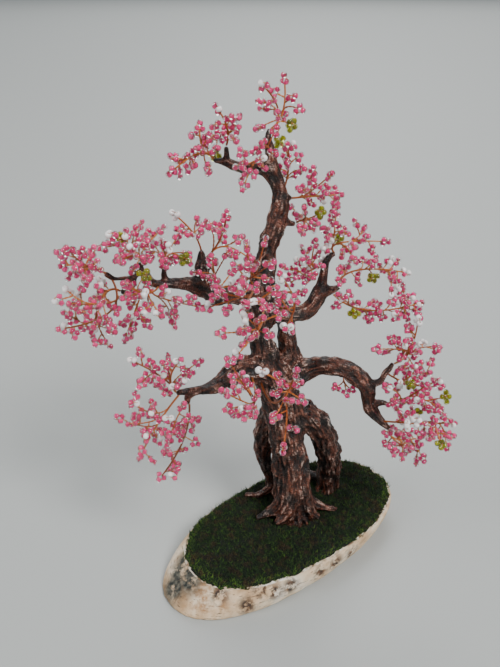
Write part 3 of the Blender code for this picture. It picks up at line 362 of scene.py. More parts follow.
# Sprays: where the wire leaves the limb, the twig tips, and the tips that carry leaf beads
SPRAYS = {
    "leader_tip": (
        (-5, 20, 196), [(0, 22, 213), (-7, 16, 212), (-8, 26, 205), (5, 18, 204), (-9, 14, 198)],
        [(2, 20, 198)]),
    "leader_front": ((-6, 16, 190), [(-8, 8, 193), (-4, 12, 196)], []),
    "leader_right": (
        (1, 24, 172), [(2, 22, 188), (6, 28, 183), (7, 21, 180), (-1, 26, 179)], [(-1, 27, 189)]),
    "top_left_tip": (
        (-27, 14, 186), [(-42, 9, 183), (-42, 17, 185), (-32, 15, 197), (-24, 23, 192), (-29, 6, 185)],
        [(-27, 20, 187)]),
    "top_left_stub": ((-22, 15, 191), [(-25, 16, 203), (-18, 18, 200), (-26, 10, 199), (-19, 8, 195)], []),
    "top_left_base": ((-9, 16, 183), [(-15, 0, 187), (-15, 4, 179), (-10, 6, 190)], []),
    "upper_right": (
        (4, 22, 168), [(12, 25, 178), (18, 18, 177), (22, 23, 169), (17, 30, 165), (8, 13, 174)], []),
    "upper_spur": (
        (6, 21, 158), [(4, 26, 163), (9, 16, 165), (14, 28, 156), (8, 13, 159)], [(14, 23, 162)]),
    "mid_right_up": (
        (23, 25, 143), [(23, 29, 162), (17, 20, 158), (26, 20, 154), (35, 28, 152), (43, 23, 149),
        (30, 17, 144)], [(25, 31, 147)]),
    "mid_right_back": (
        (19, 24, 138), [(14, 20, 149), (10, 29, 142), (2, 21, 138), (5, 28, 128), (13, 14, 138)], []),
    "mid_right_tip": (
        (25, 22, 129), [(25, 16, 139), (36, 28, 138), (48, 32, 132), (53, 23, 135), (47, 16, 130)],
        [(39, 21, 135)]),
    "mid_right_low": (
        (23, 20, 126), [(25, 11, 129), (39, 26, 115), (45, 19, 116), (56, 27, 114), (60, 21, 121),
        (56, 32, 123)], [(33, 16, 121)]),
    "mid_left_tip": (
        (-62, -14, 143), [(-71, -5, 137), (-75, -19, 137), (-74, -14, 126), (-68, -19, 124),
        (-65, -27, 138)], []),
    "mid_left_far": (
        (-66, -18, 152), [(-77, -22, 162), (-82, -13, 153), (-68, -28, 164), (-69, -33, 157)], []),
    "mid_left_low": (
        (-64, -17, 149), [(-79, -7, 145), (-79, -23, 147), (-81, -19, 132), (-74, -30, 145)],
        [(-80, -13, 138)]),
    "mid_left_rise": (
        (-54, -11, 154), [(-65, -6, 159), (-57, -18, 166), (-55, -3, 160), (-46, -12, 166),
        (-58, -24, 160)], [(-60, -11, 162)]),
    "mid_left_knob": (
        (-46, -8, 150), [(-52, 0, 154), (-43, -15, 161), (-41, -5, 160), (-38, 2, 152)], [(-38, -15, 157)]),
    "mid_left_under": (
        (-48, -10, 143), [(-57, -25, 150), (-40, -20, 142), (-33, -15, 137), (-44, -10, 131),
        (-47, -23, 139)], [(-52, -21, 154)]),
    "mid_left_hang": ((-53, -10, 144), [(-59, -9, 135), (-53, -15, 130), (-62, -11, 122)], []),
    "stub_left": ((-32, 0, 154), [(-41, 2, 167), (-34, 8, 163), (-38, -5, 161)], []),
    "stub_right": (
        (-30, 0, 151), [(-29, 7, 161), (-22, 1, 167), (-24, -8, 165), (-17, 8, 156), (-14, -2, 152)], []),
    "stub_low": (
        (-28, -1, 147), [(-32, -15, 151), (-27, -18, 157), (-20, -7, 154), (-20, -18, 152), (-25, -24, 149),
        (-17, -14, 147)], []),
    "front_high": (
        (-8, 6, 141), [(-14, -30, 166), (-8, -20, 164), (-17, -38, 162), (-7, -42, 165), (-15, -46, 161),
        (-8, -30, 155)], []),
    "front_mid": ((-11, 5, 135), [(-22, -38, 153), (-27, -32, 145), (-14, -48, 155), (-6, -42, 156)], []),
    "front_low": (
        (-8, 4, 129), [(-12, -46, 149), (-5, -42, 148), (-22, -40, 139), (-17, -46, 134), (-12, -52, 144)],
        []),
    "front_right": ((-2, 9, 132), [(-1, -18, 150), (3, -25, 144), (-2, -34, 149), (0, -37, 140)], []),
    "lower_left_rise": (
        (-43, -16, 99), [(-59, -14, 112), (-55, -23, 108), (-46, -11, 111), (-40, -26, 119),
        (-34, -18, 113), (-53, -9, 101)], []),
    "lower_left_fall": (
        (-42, -15, 97), [(-66, -16, 86), (-58, -28, 101), (-59, -18, 69), (-55, -11, 74), (-60, -24, 89)],
        []),
    "lower_left_hook": (
        (-38, -14, 92), [(-40, -26, 98), (-36, -11, 82), (-42, -19, 80), (-47, -23, 84), (-51, -17, 57),
        (-50, -8, 63)], []),
    "lower_right_rise": (
        (49, 5, 100), [(41, 0, 110), (51, 13, 107), (57, 5, 120), (68, 11, 105), (51, -4, 116),
        (51, -6, 106)], []),
    "lower_right_mid": (
        (46, 4, 96), [(59, 2, 101), (66, 10, 97), (67, 1, 93), (71, 9, 86)], [(54, -7, 97)]),
    "lower_right_stub": (
        (47, 0, 83), [(44, -10, 98), (52, -5, 91), (59, -10, 98), (64, 11, 80), (66, -8, 87)],
        [(71, 0, 86)]),
    "lower_right_tip": (
        (48, -2, 71), [(46, -12, 75), (52, -2, 59), (55, -14, 70), (64, -4, 57), (68, 7, 60)], []),
    "lower_right_far": (
        (45, -2, 75), [(52, 5, 77), (52, -18, 84), (65, -9, 80), (77, 2, 71), (74, -4, 64)], [(68, -14, 73),
        (62, 0, 79)]),
    "arch_under": ((28, 7, 92), [(25, 4, 89), (32, 10, 84)], []),
    "centre_low": (
        (-12, 0, 96), [(-20, -36, 124), (-21, -50, 121), (-20, -44, 110), (-13, -55, 118), (-15, -30, 114)],
        []),
    "centre_low_right": (
        (-8, 2, 92), [(-8, -42, 124), (-3, -40, 119), (3, -46, 126), (5, -42, 113), (-4, -53, 113),
        (-1, -54, 101)], []),
}


def slice_point(angle, half, lean, height):
    """A point of the slice's rounded oval outline, in the part's frame."""
    c = math.cos(angle)
    s = math.sin(angle)
    along = lean[0] + half[0] * math.copysign(abs(c) ** (2 / SLICE_POWER), c)
    across = lean[1] + half[1] * math.copysign(abs(s) ** (2 / SLICE_POWER), s)
    x = along * math.cos(SLICE_ANGLE) - across * math.sin(SLICE_ANGLE)
    y = along * math.sin(SLICE_ANGLE) + across * math.cos(SLICE_ANGLE)
    return Vector((x, y, height))


def smooth_line(points, step):
    """Catmull-Rom curve through points of any width, with a point about every step."""
    pts = [np.array(p, float) for p in points]
    pts = [2 * pts[0] - pts[1]] + pts + [2 * pts[-1] - pts[-2]]
    line = []
    for a, b, c, d in zip(pts, pts[1:], pts[2:], pts[3:]):
        count = max(1, round(np.linalg.norm((c - b)[:3]) / step))
        for i in range(count):
            t = i / count
            line.append(0.5 * (2 * b + (c - a) * t + (2 * a - 5 * b + 4 * c - d) * t ** 2
                               + (3 * b - a - 3 * c + d) * t ** 3))
    line.append(pts[-2])
    return np.array(line)


class Space:
    """Spheres that stand for everything placed so far, each with its owner's name."""

    def __init__(self):
        self.places = np.zeros((0, 3))
        self.radii = np.zeros(0)
        self.owners = np.zeros(0, int)

    def add(self, places, radii, owner):
        places = np.atleast_2d(places)
        self.places = np.vstack([self.places, places])
        self.radii = np.append(self.radii, np.broadcast_to(radii, len(places)))
        self.owners = np.append(self.owners, np.full(len(places), owner))

    def room(self, places, radius, chosen):
        """Smallest free distance from spheres at places to the chosen spheres."""
        if not chosen.any():
            return math.inf
        away = np.linalg.norm(np.atleast_2d(places)[:, None] - self.places[chosen][None], axis=2)
        return float((away - self.radii[chosen][None]).min()) - radius


class Wire:
    """One twisted copper wire: a curve from its start past a bend to its tip."""

    def __init__(self, start, bend, tip, parent, way):
        self.start = start
        self.bend = bend
        self.tip = tip
        self.parent = parent
        self.way = way
        self.load = 1

    def at(self, t):
        t = np.atleast_1d(t)[:, None]
        return (1 - t) ** 2 * self.start + 2 * t * (1 - t) * self.bend + t ** 2 * self.tip

    def along(self, t):
        heading = 2 * (1 - t) * (self.bend - self.start) + 2 * t * (self.tip - self.bend)
        return heading / np.linalg.norm(heading)

    def length(self):
        line = self.at(np.linspace(0, 1, 9))
        return float(np.linalg.norm(np.diff(line, axis=0), axis=1).sum())

    def bloom_middle(self):
        return self.tip + self.along(1.0) * LOOP_NECK


class Bloom:
    """A loop of beads: its middle, the direction its stalk comes from and the loop's axis."""

    def __init__(self, root, middle, heading, axis, leaf=False):
        self.root = root
        self.middle = middle
        self.heading = heading
        self.axis = axis
        self.leaf = leaf


def unit(v):
    return v / max(np.linalg.norm(v), 1e-9)


def random_unit(rng):
    while True:
        v = np.array([rng.uniform(-1, 1) for _ in range(3)])
        if 0.1 < np.linalg.norm(v) < 1:
            return unit(v)


def across(direction, angle):
    """Unit vector at right angles to a direction, turned about it by an angle."""
    side = np.cross(direction, (0, 0, 1) if abs(direction[2]) < 0.9 else (1, 0, 0))
    side = unit(side)
    return side * math.cos(angle) + np.cross(direction, side) * math.sin(angle)


def trunk_space():
    space = Space()
    for points in LIMBS.values():
        line = smooth_line(points, SPHERE_STEP)
        space.add(line[:, :3], line[:, 3], TRUNK)
    return space


def outward(space, root):
    """Direction away from the trunk at a root."""
    trunk = space.owners == TRUNK
    away = root - space.places[trunk]
    distance = np.linalg.norm(away, axis=1) + 0.5
    return unit((away / distance[:, None] ** 4).sum(axis=0))


def wire_is_clear(space, line, owner, root, start):
    """Whether a wire keeps off the trunk, the other sprays and, past its start, its own spray."""
    trunk = space.owners == TRUNK
    own = space.owners == owner
    if space.room(line, WIRE_BODY, ~trunk & ~own) < WIRE_GAP:
        return False
    past = line[np.linalg.norm(line - start, axis=1) > START_REACH]
    if len(past) and space.room(past, WIRE_BODY, own) < OWN_GAP:
        return False
    far = line[np.linalg.norm(line - root, axis=1) > ROOT_REACH]
    return len(far) == 0 or space.room(far, WIRE_BODY, trunk) >= TRUNK_GAP


def bloom_is_clear(space, middle, owner):
    """Whether a bloom fits at a place, off the trunk, the other sprays and its own spray."""
    trunk = space.owners == TRUNK
    own = space.owners == owner
    if space.room(middle, BLOOM_RADIUS, trunk) < TRUNK_GAP:
        return False
    if space.room(middle, BLOOM_RADIUS, ~trunk & ~own) < BLOOM_GAP:
        return False
    return space.room(middle, BLOOM_RADIUS, own) >= -OWN_OVERLAP


def best_start(wires, tip):
    """Where a new twig leaves the wires that are there: near its tip, but low on its spray."""
    best = None
    for wire in wires:
        length = wire.length()
        for t in FORKS:
            place = wire.at(t)[0]
            way = wire.way + t * length
            turn = float(np.dot(unit(tip - place), wire.along(t)))
            sharp = max(0.0, STRAIGHT_ENOUGH - turn)
            cost = np.linalg.norm(tip - place) + WAY_COST * way + TURN_COST * sharp
            if best is None or cost < best[0]:
                best = (cost, wire, t, place, way)
    return best[1:]


def grow_wire(space, rng, wires, root, heading, target, owner):
    """Lay one wire to a tip, bent clear of everything; None where no way is clear."""
    for attempt in range(WIRE_TRIES):
        tip = target + random_unit(rng) * TIP_STRAY * attempt
        if wires:
            parent, t, start, way = best_start(wires, tip)
            first = parent.along(t)
        else:
            parent, start, way = None, root, 0.0
            first = unit(heading + TIP_PULL * unit(tip - root))
        reach = np.linalg.norm(tip - start)
        bow = random_unit(rng) * reach * (BOW + BOW_STRAY * attempt)
        wire = Wire(start, start + first * reach * FIRST_PULL + bow, tip, parent, way)
        if not bloom_is_clear(space, wire.bloom_middle(), owner):
            continue
        if wire_is_clear(space, wire.at(WIRE_PLACES), owner, root, start):
            return wire
    return None


def grow_spray(space, index, root, tips, leaves):
    """Wires and blooms of one spray, in the order they are bent on."""
    rng = random.Random(SPRAY_SEED + index)
    root = np.array(root, float)
    heading = outward(space, root)
    targets = sorted((np.array(t, float) for t in tips), key=lambda t: -np.linalg.norm(t - root))
    marked = [(t, False) for t in targets] + [(np.array(t, float), True) for t in leaves]
    wires = []
    blooms = []
    for target, leaf in marked:
        wire = grow_wire(space, rng, wires, root, heading, target, index)
        if wire is None:
            continue
        wires.append(wire)
        carrier = wire.parent
        while carrier:
            carrier.load += 1
            carrier = carrier.parent
        heading_out = wire.along(1.0)
        axis = across(heading_out, rng.uniform(0, math.tau))
        blooms.append(Bloom(None, wire.bloom_middle(), heading_out, axis, leaf))
        space.add(wire.at(WIRE_PLACES), WIRE_BODY, index)
        space.add(wire.bloom_middle(), BLOOM_RADIUS, index)
    for wire in wires:
        add_side_blooms(space, rng, wire, index, blooms)
    return wires, blooms


def add_side_blooms(space, rng, wire, owner, blooms):
    """Blooms on stalks down a wire from its tip, each turned on from the last by the golden angle."""
    length = wire.length()
    turn = rng.uniform(0, math.tau)
    back = BLOOM_STEP
    while back < min(length - BARE_ROOT, BLOOM_REACH):
        t = 1 - back / length
        root = wire.at(t)[0]
        along = wire.along(t)
        for _ in range(SIDE_TRIES):
            turn += GOLDEN_ANGLE
            heading = unit(along * math.cos(STALK_ANGLE) + across(along, turn) * math.sin(STALK_ANGLE))
            stalk = rng.uniform(*STALK_LENGTH)
            middle = root + heading * (stalk + LOOP_NECK)
            if bloom_is_clear(space, middle, owner):
                axis = across(heading, rng.uniform(0, math.tau))
                blooms.append(Bloom(root, middle, heading, axis))
                space.add(middle, BLOOM_RADIUS, owner)
                break
        back += BLOOM_STEP * rng.uniform(*BLOOM_STRAY)


def grow_all():
    """Every spray of the tree as name, wires and blooms."""
    space = trunk_space()
    grown = {}
    for index, (name, (root, tips, leaves)) in enumerate(SPRAYS.items()):
        grown[name] = grow_spray(space, index, root, tips, leaves)
    return grown


def placed(name, data):
    """Object of some data, put in the scene."""
    made = bpy.data.objects.new(name, data)
    bpy.context.scene.collection.objects.link(made)
    return made


def store(mesh, key, numbers):
    """Keep a number or a vector for each point of a mesh, under a name that materials read."""
    kind, field = ("FLOAT", "value") if np.ndim(numbers) == 1 else ("FLOAT_VECTOR", "vector")
    layer = mesh.attributes.new(key, kind, "POINT")
    layer.data.foreach_set(field, np.asarray(numbers, np.float32).ravel())


def read(items, key, width, kind=float):
    """One value of each of a mesh's items, a row for each."""
    values = np.zeros(len(items) * width, kind)
    items.foreach_get(key, values)
    return values.reshape(-1, width)


def mesh_object(name, places, faces, looks, look_index=None, values=None, smooth=True):
    """Object from places in millimetres, with a look for each face and named values for each place."""
    mesh = bpy.data.meshes.new(name)
    mesh.from_pydata((np.asarray(places) * MM).tolist(), [], faces)
    for look in looks:
        mesh.materials.append(look)
    if look_index is not None:
        mesh.polygons.foreach_set("material_index", np.asarray(look_index, np.int32))
    for key, numbers in (values or {}).items():
        store(mesh, key, numbers)
    if smooth:
        mesh.shade_smooth()
    return placed(name, mesh)


class Pile:
    """Many small pieces gathered into one mesh."""

    def __init__(self):
        self.places = []
        self.faces = []
        self.looks = []
        self.tints = []
        self.count = 0

    def add(self, places, faces, look, tint):
        self.places.append(places)
        self.faces.extend(tuple(i + self.count for i in face) for face in faces)
        self.looks.extend([look] * len(faces))
        self.tints.append(np.full(len(places), tint))
        self.count += len(places)

    def object(self, name, looks):
        values = {"tint": np.concatenate(self.tints)}
        return mesh_object(name, np.vstack(self.places), self.faces, looks, self.looks, values)


def bands(starts, count):
    """Quads between neighbouring rings of a count of points; each ring begins at its start."""
    quads = []
    for a, b in zip(starts, starts[1:]):
        for i in range(count):
            j = (i + 1) % count
            quads.append((a + i, a + j, b + j, b + i))
    return quads


def turned_over(quads):
    """The same quads, facing the other way."""
    return [(a, d, c, b) for a, b, c, d in quads]


def ends(last, count):
    """The two faces that close the first ring and the ring that begins at last."""
    return [tuple(range(count))[::-1], tuple(range(last, last + count))]


def turned(outline, sides):
    """Closed ring-shaped solid turned round its hole, as places and faces."""
    places = []
    for i in range(sides):
        angle = math.tau * i / sides
        places.extend((r * math.cos(angle), r * math.sin(angle), z) for r, z in outline)
    count = len(outline)
    quads = bands([i * count for i in range(sides)] + [0], count)
    return np.array(places), [quad[::-1] for quad in quads]


SHELL = turned(SHELL_OUTLINE, SHELL_SIDES)
LINING = turned(LINING_OUTLINE, LINING_SIDES)


def frame_for(axis):
    """Rotation whose third column is the axis."""
    side = across(axis, 0.0)
    return np.column_stack([side, np.cross(axis, side), axis])


def carried_frames(line):
    """A side and an up direction at each point of a line, carried along it without twist."""
    axes = [unit(b - a) for a, b in zip(line, line[1:])]
    axes.append(axes[-1])
    side = across(axes[0], 0.0)
    sides = []
    ups = []
    for axis in axes:
        side = unit(side - axis * np.dot(side, axis))
        sides.append(side)
        ups.append(np.cross(axis, side))
    return np.array(sides), np.array(ups)


def tube(line, sides, ups, radii, count, closed=False):
    """Tube of a number of sides round a line, its ends filled unless the line is closed."""
    places = []
    for middle, side, up, radius in zip(line, sides, ups, radii):
        for k in range(count):
            angle = math.tau * k / count
            places.append(middle + radius * (side * math.cos(angle) + up * math.sin(angle)))
    starts = [i * count for i in range(len(line))]
    if closed:
        return np.array(places), bands(starts + [0], count)
    return np.array(places), bands(starts, count) + ends(starts[-1], count)


def add_twisted(pile, line, strands, body, tint):
    """Strands twisted round a line; body is how far their middles lie from it, at each point."""
    sides, ups = carried_frames(line)
    way = np.append(0, np.cumsum(np.linalg.norm(np.diff(line, axis=0), axis=1)))
    for k in range(strands):
        turn = math.tau * (way / TWIST_LENGTH + k / strands)
        offset = sides * np.cos(turn)[:, None] + ups * np.sin(turn)[:, None]
        strand = line + offset * body[:, None]
        places, faces = tube(strand, sides, ups, np.full(len(line), STRAND_RADIUS), STRAND_SIDES)
        pile.add(places, faces, 0, tint)


def add_wire(pile, wire, rng):
    """A twig of twisted strands, as many as the blooms beyond it call for."""
    steps = max(4, round(wire.length() / STRAND_STEP))
    line = wire.at(np.linspace(0, 1, steps + 1))
    strands = 2 if wire.load == 1 else 3 if wire.load < MANY_BLOOMS else 4
    body = np.linspace(STRAND_OFFSETS[strands], STRAND_OFFSETS[2], steps + 1)
    add_twisted(pile, line, strands, body, rng.random())


def add_bloom(beads, wires, bloom, rng, white_place):
    """Three beads on a loop of wire, with the stalk that carries it."""
    side = np.cross(bloom.heading, bloom.axis)
    white_bloom = white_place or rng.random() < WHITE_BLOOMS
    for k in range(BLOOM_BEADS):
        angle = math.pi + math.tau * (k + 0.5) / BLOOM_BEADS
        out = bloom.heading * math.cos(angle) + side * math.sin(angle)
        way = unit(side * math.cos(angle) - bloom.heading * math.sin(angle) + BEAD_TILT * random_unit(rng))
        white = rng.random() < (WHITE_IN_BLOOM if white_bloom else WHITE_BEADS)
        kind = "leaf" if bloom.leaf else "white" if white else "pink"
        add_bead(beads, bloom.middle + out * LOOP_RADIUS, way, rng, kind)
    if bloom.leaf:
        for lift in (-1, 1):
            place = bloom.middle + bloom.axis * lift * LEAF_LIFT + random_unit(rng) * LEAF_STRAY
            add_bead(beads, place, random_unit(rng), rng, "leaf")
    turns = np.linspace(0, math.tau, LOOP_STEPS, endpoint=False)
    out = np.outer(np.cos(turns), bloom.heading) + np.outer(np.sin(turns), side)
    axes = np.tile(bloom.axis, (LOOP_STEPS, 1))
    radii = np.full(LOOP_STEPS, LOOP_WIRE_RADIUS)
    places, faces = tube(bloom.middle + out * LOOP_RADIUS, out, axes, radii, LOOP_SIDES, closed=True)
    wires.add(places, faces, 0, rng.random())
    if bloom.root is not None:
        neck = bloom.middle - bloom.heading * LOOP_RADIUS
        steps = max(3, round(np.linalg.norm(neck - bloom.root) / STRAND_STEP))
        line = bloom.root + np.linspace(0, 1, steps + 1)[:, None] * (neck - bloom.root)
        add_twisted(wires, line, 2, np.full(steps + 1, STRAND_OFFSETS[2]), rng.random())


def add_bead(beads, place, way, rng, kind):
    """One bead with its hole along way."""
    turn = frame_for(way) * rng.uniform(*BEAD_SIZES)
    tint = rng.random()
    if kind == "white":
        beads.add(SHELL[0] @ turn.T + place, SHELL[1], WHITE_GLASS, tint)
        return
    lining, shell = (LEAF_LINING, LEAF_GLASS) if kind == "leaf" else (PINK_LINING, PINK_GLASS)
    beads.add(LINING[0] @ turn.T + place, LINING[1], lining, tint)
    beads.add(SHELL[0] @ turn.T + place, SHELL[1], shell, tint)


def photo_pixel(place):
    """Where a place in millimetres falls in the photograph's frame."""
    away = np.array(place) * MM - np.array(CAMERA_PLACE)
    depth = away[1] * math.cos(CAMERA_PITCH) - away[2] * math.sin(CAMERA_PITCH)
    height = away[1] * math.sin(CAMERA_PITCH) + away[2] * math.cos(CAMERA_PITCH)
    return np.array([FRAME_PIXELS[0] / 2 + FOCAL_PIXELS * away[0] / depth,
                     FRAME_PIXELS[1] / 2 - FOCAL_PIXELS * height / depth])


def place_seen(pixel, surface):
    """The place in metres on a surface that falls at a pixel of the photograph's frame."""
    right = (pixel[0] - FRAME_PIXELS[0] / 2) / FOCAL_PIXELS
    up = (FRAME_PIXELS[1] / 2 - pixel[1]) / FOCAL_PIXELS
    along = math.cos(CAMERA_PITCH) + up * math.sin(CAMERA_PITCH)
    rise = up * math.cos(CAMERA_PITCH) - math.sin(CAMERA_PITCH)
    return surface.ray_cast(Vector(CAMERA_PLACE), Vector((right, along, rise)))[0]


def white_blooms(grown):
    """The blooms that lie nearest to where the photograph shows white ones."""
    blooms = [bloom for _, blooms in grown.values() for bloom in blooms if not bloom.leaf]
    pixels = np.array([photo_pixel(bloom.middle) for bloom in blooms])
    chosen = set()
    for spot in WHITE_PIXELS:
        away = np.linalg.norm(pixels - spot, axis=1)
        if away.min() < WHITE_REACH:
            chosen.add(blooms[int(away.argmin())])
    return chosen


def make_sprays(grown, looks, copper):
    """Beads and wires of every spray, in the place of its solid."""
    white = white_blooms(grown)
    for index, (name, (wires, blooms)) in enumerate(grown.items()):
        rng = random.Random(BEAD_SEED + index)
        beads = Pile()
        strands = Pile()
        for wire in wires:
            add_wire(strands, wire, rng)
        for bloom in blooms:
            add_bloom(beads, strands, bloom, rng, bloom in white)
        bead_piece = beads.object("beads_" + name, looks)
        wire_piece = strands.object("wire_" + name, [copper])
        for piece in (bead_piece, wire_piece):
            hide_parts("spray_" + name)
            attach(piece, "root")


def space_of(grown):
    """The trunk and everything that has grown on it, as spheres."""
    space = trunk_space()
    for index, (wires, blooms) in enumerate(grown.values()):
        for wire in wires:
            space.add(wire.at(WIRE_PLACES), WIRE_BODY, index)
        for bloom in blooms:
            space.add(bloom.middle, BLOOM_RADIUS, index)
    return space


def has_room(space, middle, owner):
    """Whether one more bloom fits in at a place; it may nestle between those of its own spray."""
    own = space.owners == owner
    return (space.room(middle, BLOOM_RADIUS, ~own) >= FILL_GAP
            and space.room(middle, BLOOM_RADIUS, own) >= -FILL_OVERLAP)


def fill_wire(space, rng, wire, step, owner, blooms):
    """More blooms on short stalks down one wire, where there is room for them."""
    length = wire.length()
    turn = rng.uniform(0, math.tau)
    back = step * rng.uniform(*FILL_START)
    while back < min(length - FILL_ROOT, FILL_REACH):
        t = 1 - back / length
        root = wire.at(t)[0]
        along = wire.along(t)
        for _ in range(FILL_TRIES):
            turn += GOLDEN_ANGLE
            angle = rng.uniform(*FILL_ANGLE)
            heading = unit(along * math.cos(angle) + across(along, turn) * math.sin(angle))
            middle = root + heading * (rng.uniform(*FILL_STALK) + LOOP_NECK)
            if has_room(space, middle, owner):
                axis = across(heading, rng.uniform(0, math.tau))
                blooms.append(Bloom(root, middle, heading, axis))
                space.add(middle, BLOOM_RADIUS, owner)
                break
        back += step * rng.uniform(*BLOOM_STRAY)


def fill_sprays(grown):
    """More blooms between those that the solids have, on the sprays that FILL_STEPS names."""
    space = space_of(grown)
    for index, (name, (wires, blooms)) in enumerate(grown.items()):
        step = next((step for start, step in FILL_STEPS.items() if name.startswith(start)), None)
        if step is None:
            continue
        rng = random.Random(FILL_SEED + index)
        for wire in wires:
            fill_wire(space, rng, wire, step, index, blooms)


class Shader:
    """A Principled material and short ways to wire its nodes.

    Noise scales are per metre.  A value to feed is an output, a number or a plain colour.
    """

    def __init__(self, name, roughness=0.5, metallic=0.0):
        self.material = bpy.data.materials.new(name)
        self.material.use_nodes = True
        self.nodes = self.material.node_tree.nodes
        self.links = self.material.node_tree.links
        self.skin = self.nodes["Principled BSDF"]
        self.set(Roughness=roughness, Metallic=metallic)

    def set(self, **values):
        """Plain values of the material's own sockets, with _ for a space."""
        for key, value in values.items():
            self.skin.inputs[key.replace("_", " ")].default_value = value

    def node(self, kind, **settings):
        made = self.nodes.new(kind)
        for key, value in settings.items():
            setattr(made, key, value)
        return made

    def feed(self, socket, value):
        if isinstance(value, (int, float)):
            socket.default_value = value
        elif isinstance(value, tuple):
            socket.default_value = (*value, 1.0)
        else:
            self.links.new(value, socket)

    def value(self, key, output="Fac"):
        """Output of a named value stored on the mesh."""
        return self.node("ShaderNodeAttribute", attribute_name=key).outputs[output]

    def place(self):
        return self.node("ShaderNodeTexCoord").outputs["Object"]

    def scaled(self, vector, scale):
        """A vector multiplied by one number for each axis."""
        made = self.node("ShaderNodeVectorMath", operation="MULTIPLY")
        self.feed(made.inputs[0], vector)
        made.inputs[1].default_value = scale
        return made.outputs[0]

    def noise(self, vector, scale, detail=4.0, roughness=0.55):
        made = self.node("ShaderNodeTexNoise")
        settings = {"Vector": vector, "Scale": scale, "Detail": detail, "Roughness": roughness}
        for key, value in settings.items():
            self.feed(made.inputs[key], value)
        return made.outputs["Fac"]

    def streaks(self, size, reach):
        """Noise of a size in metres, drawn out along the bark's grain by a reach."""
        grain = self.value("grain", "Vector")
        total = 0.0
        for share in STREAK_SHARES:
            moved = self.node("ShaderNodeVectorMath", operation="MULTIPLY_ADD")
            self.feed(moved.inputs[0], grain)
            moved.inputs[1].default_value = (share * reach,) * 3
            self.feed(moved.inputs[2], self.place())
            total = self.math("ADD", total, self.noise(moved.outputs[0], 1 / size, 2.0))
        return self.math("MULTIPLY", total, 1 / len(STREAK_SHARES))

    def ramp(self, factor, stops):
        """Colour ramp; each stop is a position and a colour or a grey value."""
        made = self.node("ShaderNodeValToRGB")
        elements = made.color_ramp.elements
        while len(elements) < len(stops):
            elements.new(0.5)
        for element, (position, colour) in zip(elements, stops):
            element.position = position
            shade = (colour,) * 3 if isinstance(colour, (int, float)) else colour
            element.color = (*shade, 1.0)
        self.feed(made.inputs["Fac"], factor)
        return made.outputs["Color"]

    def mix(self, factor, first, second, kind="MIX"):
        """Mix of two colours."""
        made = self.node("ShaderNodeMix", data_type="RGBA", blend_type=kind)
        for index, value in ((0, factor), (6, first), (7, second)):
            self.feed(made.inputs[index], value)
        return made.outputs[2]

    def math(self, operation, first, second):
        made = self.node("ShaderNodeMath", operation=operation)
        self.feed(made.inputs[0], first)
        self.feed(made.inputs[1], second)
        return made.outputs[0]

    def colour(self, output):
        self.feed(self.skin.inputs["Base Color"], output)

    def rough(self, output):
        self.feed(self.skin.inputs["Roughness"], output)

    def bump(self, output, depth, strength=1.0):
        """Relief of the given depth in metres."""
        made = self.node("ShaderNodeBump")
        for key, value in {"Strength": strength, "Distance": depth, "Height": output}.items():
            self.feed(made.inputs[key], value)
        self.feed(self.skin.inputs["Normal"], made.outputs[0])


def lining_look(name, stops):
    """Coloured lining of a bead's hole, its shade varying from bead to bead."""
    made = Shader(name, roughness=0.25)
    made.colour(made.ramp(made.value("tint"), stops))
    return made.material


def shell_look(name, colour):
    """Clear glass round a lining."""
    made = Shader(name, roughness=0.04)
    made.set(Transmission_Weight=CLEARNESS, IOR=1.45, Base_Color=(*colour, 1.0))
    return made.material


def white_glass_look():
    """Milky white glass."""
    made = Shader("white_glass", roughness=0.18)
    made.colour(made.ramp(made.value("tint"), WHITE_SHADES))
    made.set(Coat_Weight=1.0, Coat_Roughness=0.05)
    return made.material


def copper_look():
    """Lacquered copper wire, some of it browner."""
    made = Shader("copper_wire", roughness=0.33, metallic=0.75)
    cloud = made.noise(made.place(), 900.0)
    shade = made.math("ADD", made.math("MULTIPLY", made.value("tint"), 0.6),
                      made.math("MULTIPLY", cloud, 0.4))
    made.colour(made.ramp(shade, COPPER_SHADES))
    return made.material


def limb_curve(name, points):
    """One limb as a round tapering curve with filled ends."""
    data = bpy.data.curves.new(name, "CURVE")
    data.dimensions = "3D"
    data.bevel_depth = MM
    data.bevel_resolution = LIMB_RESOLUTION
    data.use_fill_caps = True
    line = smooth_line(points, SPHERE_STEP)
    spline = data.splines.new("POLY")
    spline.points.add(len(line) - 1)
    for knot, (x, y, z, radius) in zip(spline.points, line):
        knot.co = (x * MM, y * MM, z * MM, 1)
        knot.radius = radius
    return placed(name, data)


def evaluated_mesh(made):
    """The object's mesh with its modifiers applied."""
    bpy.context.view_layer.update()
    graph = bpy.context.evaluated_depsgraph_get()
    return bpy.data.meshes.new_from_object(made.evaluated_get(graph))


def grown_trunk():
    """Limbs grown together in one fine mesh."""
    joined = bmesh.new()
    for name, points in LIMBS.items():
        curve = limb_curve(name, points)
        tube_mesh = evaluated_mesh(curve)
        joined.from_mesh(tube_mesh)
        data = curve.data
        bpy.data.objects.remove(curve)
        bpy.data.curves.remove(data)
        bpy.data.meshes.remove(tube_mesh)
    bmesh.ops.remove_doubles(joined, verts=joined.verts, dist=WELD)
    mesh = bpy.data.meshes.new("trunk_raw")
    joined.to_mesh(mesh)
    joined.free()
    raw = placed("trunk_raw", mesh)
    remesh = raw.modifiers.new("grow together", "REMESH")
    remesh.mode = "VOXEL"
    remesh.voxel_size = FINE_VOXEL * MM
    smooth = raw.modifiers.new("smooth", "SMOOTH")
    smooth.factor = 0.5
    smooth.iterations = REMESH_SMOOTHING
    fine = evaluated_mesh(raw)
    bpy.data.objects.remove(raw)
    return fine


